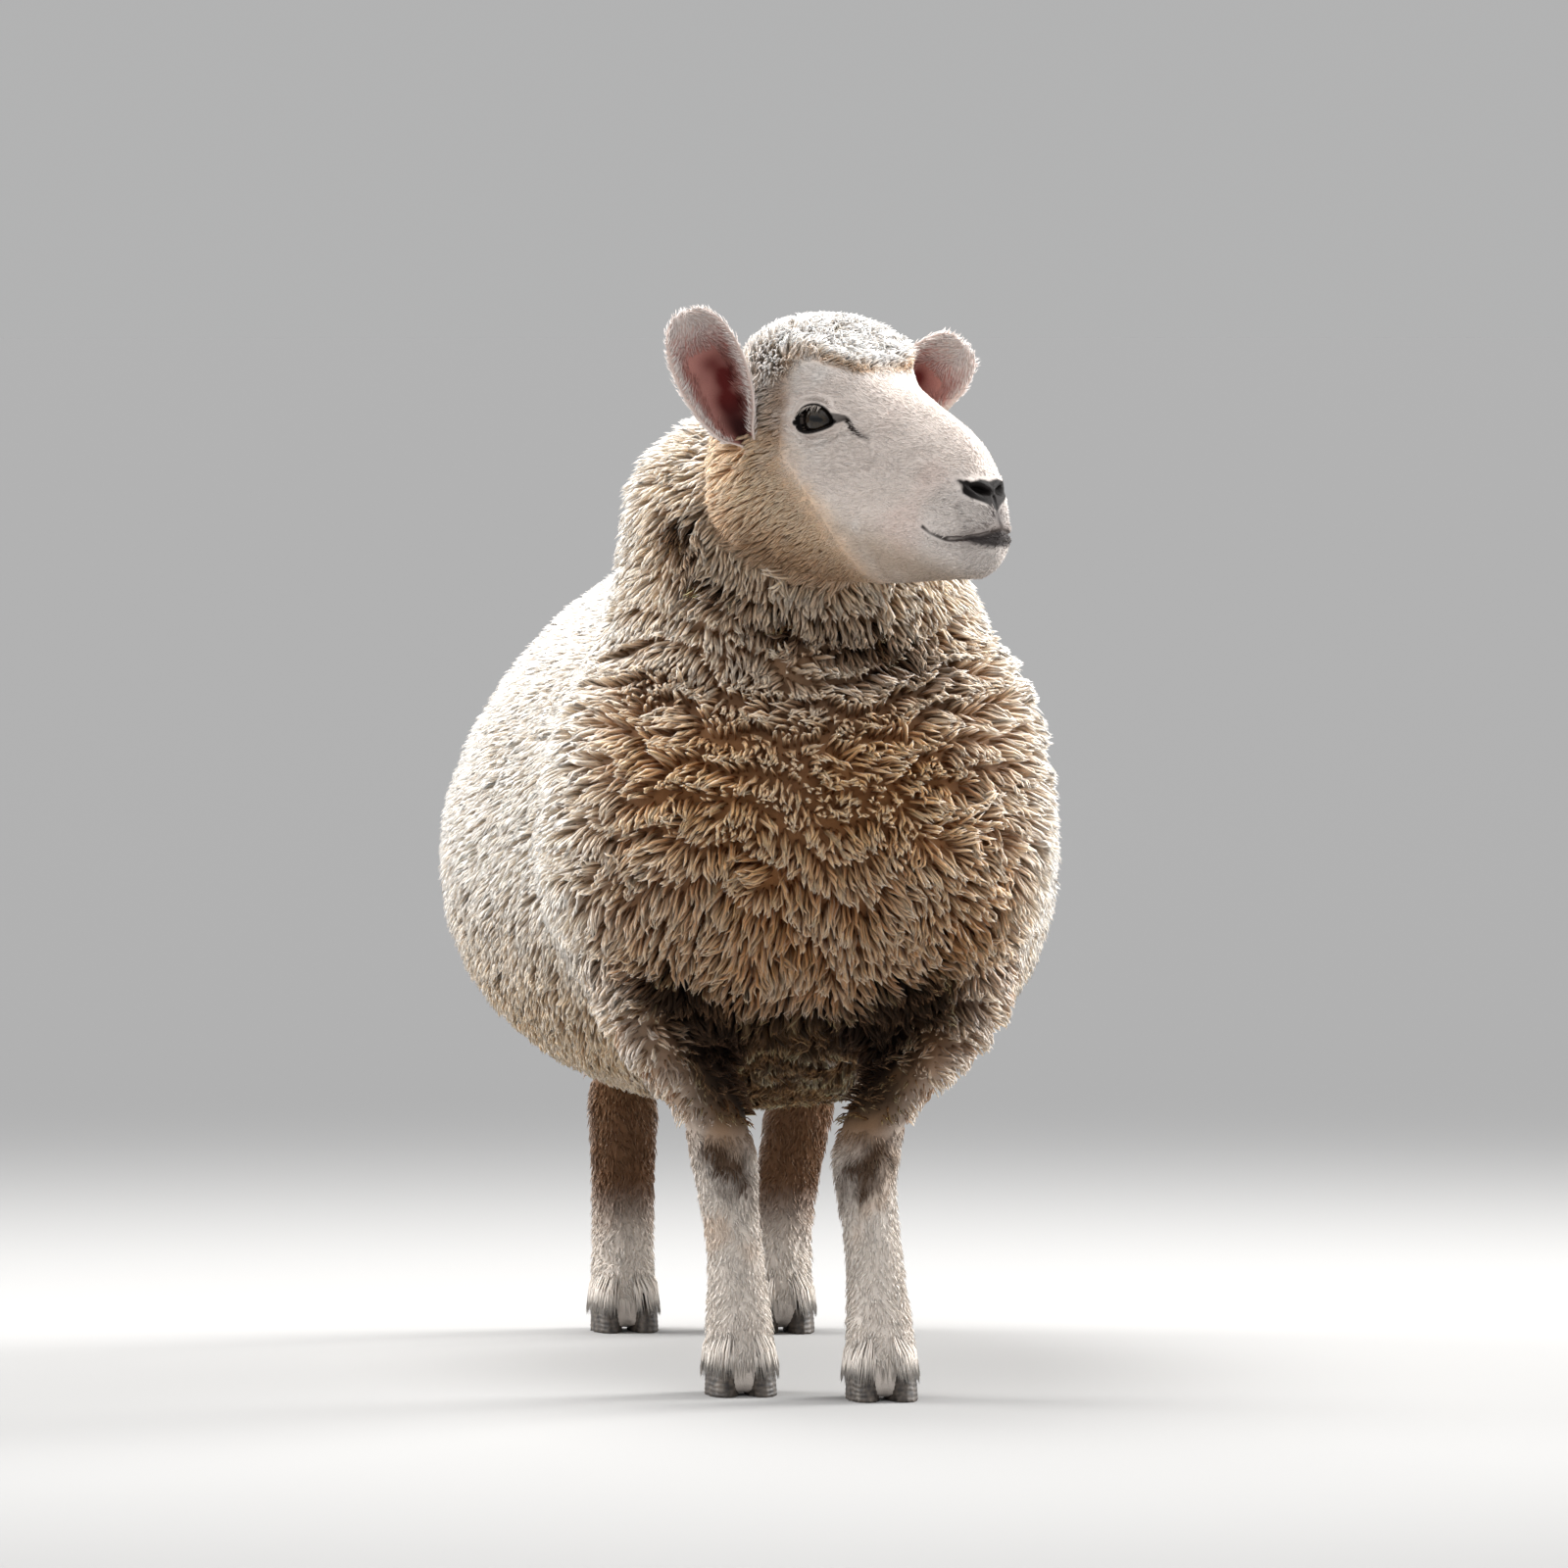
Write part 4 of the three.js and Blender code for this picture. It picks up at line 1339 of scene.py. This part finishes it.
def lock_points(locks, form, seed):
    """Points of three-sided locks, a row of points for each, bent like a bow and a little crimped."""
    draw = np.random.default_rng(seed)
    root, normal, tip = locks["root"], locks["normal"], locks["tip"]
    count = len(root)
    rise = ((tip - root) * normal).sum(1, keepdims=True)
    middle = root + normal * rise * 0.78 + (tip - root - normal * rise) * 0.3
    side = unit(np.cross(normal, locks["lie"]))
    phase = draw.uniform(0, 2 * math.pi, (count, 1))
    turn = draw.uniform(0, 2 * math.pi / 3, (count, 1))
    start = root - normal * ROOT_BURIED
    rows = []
    for part, section in form:
        at = start * (1 - part) ** 2 + middle * (2 * part * (1 - part)) + tip * part ** 2
        swing = locks["crimp"][:, None] * math.sqrt(part)
        at = at + side * swing * np.sin(phase + 9.0 * part)
        at = at + normal * swing * 0.5 * np.cos(phase + 8.0 * part)
        if section == 0:
            rows.append(at[:, None])
            continue
        ahead = unit((middle - start) * (1 - part) + (tip - middle) * part)
        across = unit(np.cross(ahead, normal + 0.01 * side))
        out = np.cross(across, ahead)
        half = locks["wide"][:, None] / 2 * section
        for corner in range(3):
            angle = turn + corner * 2 * math.pi / 3 + 0.5 * part
            rows.append((at + across * np.cos(angle) * half + out * np.sin(angle) * half * 0.75)[:, None])
    return np.concatenate(rows, 1)


def lock_faces(form):
    """The quads and triangles of one lock, and for each of their corners its share round and along."""
    parts = [part for part, _ in form]
    quads, quad_spots, triangles, triangle_spots = [], [], [], []
    for ring in range(len(form) - 2):
        for corner in range(3):
            a, b = ring * 3 + corner, ring * 3 + (corner + 1) % 3
            left, right = corner / 3, (corner + 1) / 3
            quads.append((a, b, b + 3, a + 3))
            low, high = parts[ring], parts[ring + 1]
            quad_spots += [(left, low), (right, low), (right, high), (left, high)]
    last = (len(form) - 2) * 3
    for corner in range(3):
        left, right = corner / 3, (corner + 1) / 3
        triangles.append((last + corner, last + (corner + 1) % 3, last + 3))
        triangle_spots += [(left, parts[-2]), (right, parts[-2]), ((left + right) / 2, 1.0)]
    triangles.append((2, 1, 0))
    triangle_spots += [(2 / 3, 0.0), (1 / 3, 0.0), (0.0, 0.0)]
    return np.array(quads), np.array(quad_spots), np.array(triangles), np.array(triangle_spots)


PATCH = 0.003  # how wide the patch of each lock is on its OFBake map


def unwrapped(root, axis):
    """Places of roots on an unwrap: the angle round the axis, and the angle along it, evened out."""
    offset = root - root.mean(0)
    axis = unit(np.array(axis, float))
    along = offset @ axis
    first = unit(np.cross(axis, (0.3, 0.2, 0.93)))
    second = np.cross(axis, first)
    x, y = offset @ first, offset @ second
    u = np.arctan2(y, x)
    v = np.arctan2(along, np.hypot(x, y))
    even = [np.argsort(np.argsort(value)) / max(len(value) - 1, 1) for value in (u, v)]
    return 0.005 + 0.985 * np.stack(even, 1)


def build_locks(name, finish, axis, locks, form, seed):
    """One coat piece from arrays that hold a row for each lock."""
    count = len(locks["root"])
    if not count:
        return
    points = lock_points(locks, form, seed)
    quads, quad_spots, triangles, triangle_spots = lock_faces(form)
    base = (np.arange(count) * points.shape[1])[:, None, None]
    faces = [(base + quads).reshape(-1, 4), (base + triangles).reshape(-1, 3)]
    piece = mesh_of(name, points.reshape(-1, 3), faces)
    long = np.linalg.norm(locks["tip"] - locks["root"], axis=1)
    size = np.stack([3 * locks["wide"], long], 1)[:, None] / MM
    shift = np.random.default_rng(seed + 1).uniform(0, 500, (count, 1, 2))
    own = unwrapped(locks["root"], axis)[:, None]
    maps = {"OFBake": (own, PATCH), "strand": (shift, size)}
    for label, (start, scale) in maps.items():
        corners = [(start + spots * scale).reshape(-1, 2) for spots in (quad_spots, triangle_spots)]
        layer = piece.data.uv_layers.new(name=label)
        layer.data.foreach_set("uv", np.concatenate(corners).astype(np.float32).ravel())
    ring = [part for part, section in form for _ in range(3 if section else 1)]
    share = smoothstep(0.0, 0.8, np.array(ring))[None, :, None]
    colour = locks["root_colour"][:, None] * (1 - share) + locks["tip_colour"][:, None] * share
    paint(piece.data, "wool", np.clip(colour.reshape(-1, 3), 0, 1))
    piece.data.materials.append(finish)
    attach(piece, "root")


def some(locks, rows):
    return {name: values[rows] for name, values in locks.items()}


def staple_of(root, every, seed):
    """For each root, the root that leads its staple, one in every few, and how far off it is."""
    draw = np.random.default_rng(seed)
    leads = np.flatnonzero(draw.random(len(root)) < 1.0 / every)
    number, far = nearest(root[leads], root)
    return leads[number], far


def at_roots(skin, vertex, spacing, seed):
    """Roots over the skin with what its vertices know: place, normal, regions and depth of coat."""
    corner, share = sample(skin, spacing, seed)
    root = spread(vertex["place"], corner, share)
    normal = unit(spread(vertex["normal"], corner, share))
    shares = spread(vertex["shares"], corner, share)
    depth = spread(vertex["depth"], corner, share) * MM
    notes = vertex["notes"][corner[:, 0]] if len(corner) else np.zeros((0, 4))
    colour = marking(root, root + normal * depth[:, None], normal, shares, notes) if len(root) else root
    return root, normal, shares, depth, notes, colour


ROW = 33 * MM  # from one ledge of staples to the next, down the breast
LOCKS_IN_STAPLE = 4.5
BODY_GAP = 5.1 * MM
NECK_GAP = 4.7 * MM
LOCK_WIDTH = (3.2, 5.0)
LOCK_CRIMP = (0.9, 2.2)
# Painted light on the breast's ledges: a highlight along each fringe and shade under each ledge.
FRINGE_HIGHLIGHT = srgb(240, 214, 182)
UNDER_LEDGE_SHADE = np.array([0.66, 0.52, 0.39])
# Towards their roots the locks are darker: partly the tan of the roots, partly painted shade, deepest on the
# breast.
ROOT_FLAT = np.array([0.98, 0.89, 0.79])
ROOT_BOLD = np.array([0.72, 0.6, 0.48])
BODY_SLICES = ("breast", "shoulders", "ribs", "loins", "thighs", "rump")


def ledges(points):
    """How far down its row a place is, 0 just under the ledge above and 1 on its own, and how bold."""
    x, y, z = points.T
    warp = 11 * MM * waves(points, 0.15, 41) + 4 * MM * waves(points, 0.05, 42)
    chevron = 0.5 * np.hypot(x - 0.01, 0.03) * smoothstep(0.3, 0.55, z)
    phase = (chevron - z - warp) / ROW
    bold = 0.15 + 0.85 * smoothstep(0.0, -0.22, y) * smoothstep(0.78, 0.6, z)
    return phase - np.floor(phase), bold


def body_lie(root, normal, stray):
    """The wool hangs down, outward over the breast and a little back, and parts along the spine."""
    x = root[:, 0]
    top = smoothstep(0.5, 0.95, normal[:, 2])
    breast = smoothstep(0.2, 0.8, -normal[:, 1])
    way = np.tile([0.0, 0.12, -1.0], (len(root), 1))
    way[:, 0] += 0.9 * np.sign(x) * top * smoothstep(0.0, 0.04, np.abs(x)) + 2.2 * (x - 0.01) * breast
    way[:, 1] += 0.8 * top
    swirl = np.stack([waves(root, 0.07, 31), waves(root, 0.07, 32), waves(root, 0.07, 33)], 1)
    return tangent(way + (0.25 + 0.2 * breast)[:, None] * swirl + stray, normal)


def fleece_tint(colour, bold, ledge, tone):
    """The locks' tone, with painted shade under each ledge and a painted highlight along its fringe."""
    under = bold * smoothstep(0.75, 0.3, ledge)
    fringe = bold * smoothstep(0.86, 1.0, ledge) * smoothstep(0.1, 0.3, colour.mean(1))
    shaded = colour * tone[:, None] * blend(np.ones(3), UNDER_LEDGE_SHADE, under)
    return blend(shaded, FRINGE_HIGHLIGHT, 0.3 * fringe)


def grow_fleece(skin, vertex):
    """The long wool of the body, in slices from breast to rump, and of the neck."""
    gap = np.where(vertex["shares"][:, NECK] > 0.4, NECK_GAP, BODY_GAP)
    gap = np.where(vertex["wool"], gap, BALD)
    root, normal, shares, depth, _, colour = at_roots(skin, vertex, gap, 51)
    draw = np.random.default_rng(52)
    count = len(root)
    lead, far = staple_of(root, LOCKS_IN_STAPLE * DENSITY, 53)
    part, bold = ledges(root)
    neck = np.clip(shares[:, NECK] + shares[:, HEAD], 0, 1)
    stray = draw.normal(size=(count, 3))[lead] * (0.24 + 0.02 * bold - 0.03 * neck)[:, None]
    lie = body_lie(root, normal, stray)
    reach = depth * (0.76 + 0.14 * neck) * draw.uniform(0.75, 1.2, count)
    ledge = np.minimum(part + reach / ROW, np.maximum(1.0 + draw.normal(0, 0.07, count), part + 0.12))
    reach = reach + (np.minimum(reach, (ledge - part) * ROW) - reach) * bold
    lift = 1 - bold * 0.66 * (1 - np.clip(ledge, 0, 1)) ** 1.1
    tall = draw.uniform(0.92, 1.05, count)[lead] * draw.uniform(0.95, 1.04, count)
    rise = depth * lift * tall
    own_tip = root + normal * rise[:, None] + lie * reach[:, None]
    same_row = np.abs(part - part[lead]) < 0.4
    pull = (0.3 + 0.3 * bold * (1 - neck)) * smoothstep(14 * MM, 5 * MM, far) * same_row
    tip = own_tip + (own_tip[lead] - own_tip) * pull[:, None]
    tip = tip + np.cross(normal, lie) * draw.normal(0, 1.2 * MM, (count, 1))
    tip = tip + lie * draw.normal(0, 1.2 * MM, (count, 1))
    tone = 1 + draw.normal(0, 0.04, count) + draw.normal(0, 0.05, count)[lead]
    tint = fleece_tint(colour, bold, ledge, tone)
    # Painted shade, with some tan, at the roots.
    brown = blend(ROOT_FLAT, ROOT_BOLD, smoothstep(0.2, 0.8, bold))
    thin = np.clip(depth / (20 * MM), 0.5, 1.0) / math.sqrt(DENSITY)
    calm = np.clip(depth / (22 * MM), 0.3, 1.0)
    locks = {
        "root": root, "normal": normal, "lie": lie, "tip": tip,
        "wide": draw.uniform(*LOCK_WIDTH, count) * MM * thin,
        "crimp": draw.uniform(*LOCK_CRIMP, count) * MM * calm,
        "root_colour": tint * brown, "tip_colour": tint,
    }
    on_neck = neck > 0.5
    slices = list(zip(("neck_lower", "neck_upper"), sliced(on_neck, root[:, 2], 2)))
    slices += zip(BODY_SLICES, sliced(~on_neck, root[:, 1], len(BODY_SLICES)))
    for number, (name, rows) in enumerate(slices):
        axis = (0, -0.4, 0.9) if "neck" in name else (0, 1, 0)
        build_locks(f"wool_{name}", WOOL_FINISH, axis, some(locks, rows), STAPLE, 60 + number)


def sliced(mask, along, count):
    rows = np.flatnonzero(mask)
    return np.array_split(rows[np.argsort(along[rows])], count)


CHEEK_WAY = np.array([0.0, -0.7, -0.75])  # outward, forward and up on the head
TOPKNOT_WAY = np.array([0.0, 0.35, 0.3])
# The head's wool is painted darker and warmer towards its roots, as shade in the wool.
ROOT_SHORT = np.array([0.97, 0.92, 0.87])
ROOT_LONG = np.array([1.0, 0.9, 0.79])


def grow_head_wool(skin, vertex):
    """Curls of the topknot, and the wool of the cheeks and jaw, finer towards the face."""
    size = np.clip(vertex["depth"] * 0.18 + 0.5, 1.7, 2.7) * MM
    size = size * (1 - 0.18 * smoothstep(10, 30, on_head(vertex["place"])[:, 2]))
    gap = np.where(vertex["head_wool"], size, BALD)
    root, normal, _, depth, _, colour = at_roots(skin, vertex, gap, 71)
    draw = np.random.default_rng(72)
    count = len(root)
    h = on_head(root)
    topknot = smoothstep(5, 35, h[:, 2])
    collar = ear_base(h)
    way = blend(CHEEK_WAY, TOPKNOT_WAY, topknot)
    way[:, 0] += np.sign(h[:, 0]) * 0.4 * collar
    lead, far = staple_of(root, LOCKS_IN_STAPLE * DENSITY, 73)
    stray = draw.normal(size=(count, 3))[lead]
    swirl = np.stack([waves(root, 0.035, seed) for seed in (81, 82, 83)], 1)
    loose = 0.2 + 0.6 * topknot
    lie = tangent((way + 0.5 * loose[:, None] * (swirl + stray)) @ HEAD_WAYS.T, normal)
    rise = depth * draw.uniform(0.85, 1.05, count) * (0.3 + 0.6 * smoothstep(3 * MM, 9 * MM, depth))
    reach = np.maximum(depth * (1.4 - 0.6 * topknot), 5 * MM) * draw.uniform(0.8, 1.2, count)
    own_tip = root + normal * rise[:, None] + lie * reach[:, None]
    long = smoothstep(4 * MM, 9 * MM, depth)
    pull = (0.62 - 0.5 * topknot) * smoothstep(12 * MM, 4 * MM, far) * long
    tip = own_tip + (own_tip[lead] - own_tip) * pull[:, None]
    tone = 1 + draw.normal(0, 0.035, count) + draw.normal(0, 0.04, count)[lead]
    tip_colour = colour * tone[:, None]
    brown = blend(ROOT_SHORT, ROOT_LONG, smoothstep(3 * MM, 12 * MM, depth))
    wide = np.clip(depth / MM * 0.2, 1.15, 2.7) * MM
    locks = {
        "root": root, "normal": normal, "lie": lie, "tip": tip,
        "wide": wide * draw.uniform(0.8, 1.25, count) / math.sqrt(DENSITY),
        "crimp": draw.uniform(0.2, 1.0, count) * MM * np.clip(depth / (14 * MM), 0.1, 1.2),
        "root_colour": tip_colour * brown, "tip_colour": tip_colour,
    }
    upper = h[:, 2] > 12
    for name, rows, seed in (("topknot", upper, 74), ("cheeks", ~upper, 76)):
        build_locks(f"wool_{name}", HEAD_WOOL_FINISH, (0, 0.3, 1), some(locks, rows), STAPLE, seed)


def grow_short_hair(skin, vertex, name, mask, form, lie_way, seed, white=0.0):
    """Short hair that lies close. Its form is its gap, length and width in millimetres and how it lifts."""
    gap, long, wide, stand = form
    root, normal, _, _, notes, colour = at_roots(skin, vertex, np.where(mask, gap * MM, BALD), seed)
    draw = np.random.default_rng(seed + 1)
    count = len(root)
    if not count:
        return
    swirl = np.stack([waves(root, 0.025, seed + k) for k in (2, 3, 4)], 1)
    lie = tangent(lie_way(root, notes) + 0.22 * swirl + 0.12 * draw.normal(size=(count, 3)), normal)
    length = long * MM * draw.uniform(0.75, 1.25, count)
    rise = length * draw.uniform(*stand, count)
    tone = 1 + draw.normal(0, 0.035, count)
    pale = smoothstep(0.62, 1.0, np.maximum(np.abs(notes[:, 0]), notes[:, 1] + 0.05))
    pale = white * np.where(notes[:, 2] > 0.5, pale, 1.0)
    tip_colour = blend(colour, EAR_WHITE, pale) * tone[:, None]
    tip = root + normal * rise[:, None] + lie * length[:, None]
    # The roots are painted a little darker, as shade near the skin.
    locks = {
        "root": root, "normal": normal, "lie": lie, "tip": tip,
        "wide": wide * MM * draw.uniform(0.75, 1.25, count) / math.sqrt(DENSITY),
        "crimp": np.full(count, 0.05 * MM), "root_colour": tip_colour * 0.9, "tip_colour": tip_colour,
    }
    build_locks(name, HAIR_FINISH, (0, 0, 1), locks, HAIR, seed + 5)


def down(root, notes):
    return np.tile([0.0, 0.1, -1.0], (len(root), 1))


def back_over_face(root, notes):
    """Away from the nose, turning down over the cheeks and out round the eyes."""
    h = on_head(root)
    way = np.column_stack([np.sign(h[:, 0]) * 0.25, -np.ones(len(h)), -0.3 + 0 * h[:, 0]])
    return way @ HEAD_WAYS.T


def along_ear(root, notes):
    """Towards the tip, and inside also in from the rim."""
    long = {side: HEAD_WAYS @ ear_ways(side)[2] for side in (-1, 1)}
    wide = {side: HEAD_WAYS @ ear_ways(side)[0] for side in (-1, 1)}
    left = (notes[:, 3] > 0)[:, None]
    way = np.where(left, long[1], long[-1])
    across = np.where(left, wide[1], wide[-1])
    return way - across * (notes[:, 0] * notes[:, 2] * 1.1)[:, None]


FAR_OUT = 60 * MM
CORONET_GAP = 2.2 * MM


def grow_coronet(skin, vertex, leg, mask, seed):
    """Longer hair that hangs over the top of the claws."""
    root, normal, _, _, _, colour = at_roots(skin, vertex, np.where(mask, CORONET_GAP, BALD), seed)
    draw = np.random.default_rng(seed + 1)
    count = len(root)
    away = unit(normal * (1, 1, 0) + 1e-6)
    low = draw.uniform(12, 21, count) * MM
    start = np.column_stack([root[:, :2] + away[:, :2] * FAR_OUT, low])
    meshes = [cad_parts[node].data for node in CLAWS if node.startswith(leg)]
    walls = [BVHTree.FromPolygons(places(mesh), [face.vertices for face in mesh.polygons])
             for mesh in meshes]
    out = np.zeros(count)
    for number, (at, way) in enumerate(zip(start, away)):
        hits = [wall.ray_cast(at, -way, 2 * FAR_OUT)[3] for wall in walls]
        out[number] = FAR_OUT - min([far for far in hits if far is not None], default=FAR_OUT)
    out = np.clip(out, 4 * MM, 26 * MM) + draw.uniform(1.5, 3.5, count) * MM
    tip = np.column_stack([root[:, :2] + away[:, :2] * out[:, None], low])
    tip_colour = colour * (1 + draw.normal(0, 0.04, (count, 1)))
    # The roots are painted a little darker, as shade near the skin.
    locks = {
        "root": root, "normal": away, "lie": np.tile([0, 0, -1.0], (count, 1)), "tip": tip,
        "wide": draw.uniform(1.2, 2.0, count) * MM / math.sqrt(DENSITY), "crimp": np.full(count, 0.2 * MM),
        "root_colour": tip_colour * 0.88, "tip_colour": tip_colour,
    }
    build_locks(f"coronet_{leg}", HAIR_FINISH, (0, 0, 1), locks, HAIR, seed + 2)


LASHES = 26
LASH_WHITE = srgb(206, 194, 184)


def grow_lashes():
    """White lashes that hang from the upper lids."""
    draw = np.random.default_rng(401)
    roots, tips, ways = [], [], []
    first, last = EYE_ENDS
    for side in (-1, 1):
        part = np.linspace(0.06, 0.72, LASHES)
        s = first + (last - first) * part
        t = upper_lid(part) + 1.6 + EYE_LOW
        out = lid_out(s, t) - 0.6
        root = GLOBE_AT + s[:, None] * EYE_WAY_LONG + t[:, None] * EYE_WAY_UP + out[:, None] * EYE_WAY_OUT
        way = unit(EYE_WAY_OUT * 1.0 - EYE_WAY_UP * 0.75 - EYE_WAY_LONG * (0.5 - 0.5 * part)[:, None]
                   + 0.16 * draw.normal(size=(LASHES, 3)))
        tip = root + way * draw.uniform(7.5, 11.5, LASHES)[:, None]
        both = [off_head(place_mm * (side, 1, 1)) for place_mm in (root, tip)]
        roots.append(both[0])
        tips.append(both[1])
        ways.append(np.tile(EYE_WAY_OUT * (side, 1, 1), (LASHES, 1)) @ HEAD_WAYS.T)
    root, tip, normal = (np.concatenate(items) for items in (roots, tips, ways))
    count = len(root)
    colour = np.tile(LASH_WHITE, (count, 1))
    # The roots are painted a little darker, as shade.
    locks = {
        "root": root, "normal": normal, "lie": tangent(tip - root, normal), "tip": tip,
        "wide": np.full(count, 0.75 * MM), "crimp": np.zeros(count),
        "root_colour": colour * 0.8, "tip_colour": colour,
    }
    build_locks("lashes", HAIR_FINISH, (0, 0, 1), locks, HAIR, 402)


HAIR_WAY = np.array((-0.2, 0.95, 0.25))  # from a face hair's tip back to its root


def bare_skin(m):
    """Where no hair may root: the black parts, and the strip in front of them that hair would lie over."""
    bare = (nose_edge(m) < 1.5) | (nostril_edge(m) < 1.5)
    bare |= (along_line(m, MOUTH)[0] < 2.8) | (along_line(m, PHILTRUM)[0] < 4)
    for back in (0.0, 2.2, 4.4):
        tip = m - back * HAIR_WAY
        s, t, _ = on_eye(tip)
        close = np.hypot(s, t) < 36
        bare |= close & ((eye_edge(s, t) < 3.4 - 0.3 * back) | (canthus_edge(s, t) < 1.0))
        bare |= along_line(tip, TEAR_LINE)[0] < 1.5
        bare |= along_line(tip, MOUTH)[0] < 2.4
    return bare


# Gap, length and width in millimetres, and the least and most that a hair lifts for its length.
FACE_HAIR = (1.75, 5.2, 1.2, (0.03, 0.2))
LEG_HAIR = (3.0, 9.0, 1.7, (0.14, 0.4))
EAR_HAIR = (2.1, 7.0, 1.4, (0.08, 0.4))
EAR_RIM_HAIR = (1.9, 7.5, 1.1, (0.1, 0.4))


def grow_coat(skin, shares, notes, depth):
    mesh = skin.data
    points = places(mesh)
    out = outward(mesh)
    h = on_head(points)
    edge = face_edge(h)
    ear = notes[:, 3] != 0
    on_the_head = (shares[:, HEAD] > 0.5) & ~ear
    foot = points[:, 2] < 30 * MM
    leg_short = (shares[:, LEG] > 0.5) & (depth < 9) & ~foot
    vertex = {
        "place": points, "normal": out, "shares": shares, "depth": depth, "notes": notes,
        "wool": ~on_the_head & ~ear & ~leg_short & ~foot,
        "head_wool": on_the_head & (edge <= -2),
    }
    grow_fleece(skin, vertex)
    grow_head_wool(skin, vertex)
    face = on_the_head & (edge > -2) & ~bare_skin(mirrored(h))
    grow_short_hair(skin, vertex, "hair_face", face, FACE_HAIR, back_over_face, 101)
    for number, leg in enumerate(LEGS):
        seed = 121 + 20 * number
        own = own_leg(points, leg)
        grow_short_hair(skin, vertex, f"hair_{leg}", leg_short & own, LEG_HAIR, down, seed)
        coronet = (shares[:, LEG] > 0.5) & own & (points[:, 2] > 36 * MM) & (points[:, 2] < 60 * MM)
        grow_coronet(skin, vertex, leg, coronet & (np.abs(out[:, 2]) < 0.75), seed + 10)
    outer = ear & (notes[:, 2] < 0.5) & (notes[:, 1] > 0.0)
    rim = (np.abs(notes[:, 0]) > 0.42) | (notes[:, 1] > 0.66)
    inner = ear & (notes[:, 2] > 0.5) & rim & (notes[:, 1] > 0.0)
    grow_short_hair(skin, vertex, "hair_ears", outer, EAR_HAIR, along_ear, 231, 0.9)
    grow_short_hair(skin, vertex, "hair_ear_rims", inner, EAR_RIM_HAIR, along_ear, 241, 0.9)
    grow_lashes()


def own_leg(points, leg):
    right = "right" in leg
    fore = "fore" in leg
    return ((points[:, 0] < 0) == right) & ((points[:, 1] < 0) == fore)


# ---- Making her -----------------------------------------------------------------------------------

add_camera()
add_studio()
WOOL_FINISH = painted_finish("fleece_wool", "wool", FIBRES, 0.95, 0.3, 0.6, 1.0 * MM, Crimp=0.45)
HEAD_WOOL_FINISH = painted_finish("fine_wool", "wool", FIBRES, 0.95, 0.2, 0.5, 0.8 * MM, Crimp=0.45)
HAIR_FINISH = painted_finish("short_hair", "wool", FIBRES, 0.85, 0.16, 0.4, 0.4 * MM, Crimp=0.0)
SKIN_FINISH = painted_finish("haired_skin", "marking", MOTTLE, 0.7, 0.16, 0.5, 0.8 * MM, Fine=1300.0)
HORN_FINISH = horn_finish()
EYE_FINISH = eye_finish()
let_light_in(WOOL_FINISH, 0.85, 5 * MM)
let_light_in(HEAD_WOOL_FINISH, 0.6, 1.6 * MM)
let_light_in(HAIR_FINISH, 0.4, 1.0 * MM)

skin, shares, notes = build_skin()
depth = coat_depth(places(skin.data), shares)
paint(skin.data, "marking", shaded_skin_colour(skin, shares, notes, depth))
skin.data.materials.clear()
skin.data.materials.append(SKIN_FINISH)
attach(skin, "root")
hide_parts(*FLESH)
build_eye(-1, "eye_right")
build_eye(1, "eye_left")
for node in CLAWS:
    build_claw(node)
grow_coat(skin, shares, notes, depth)
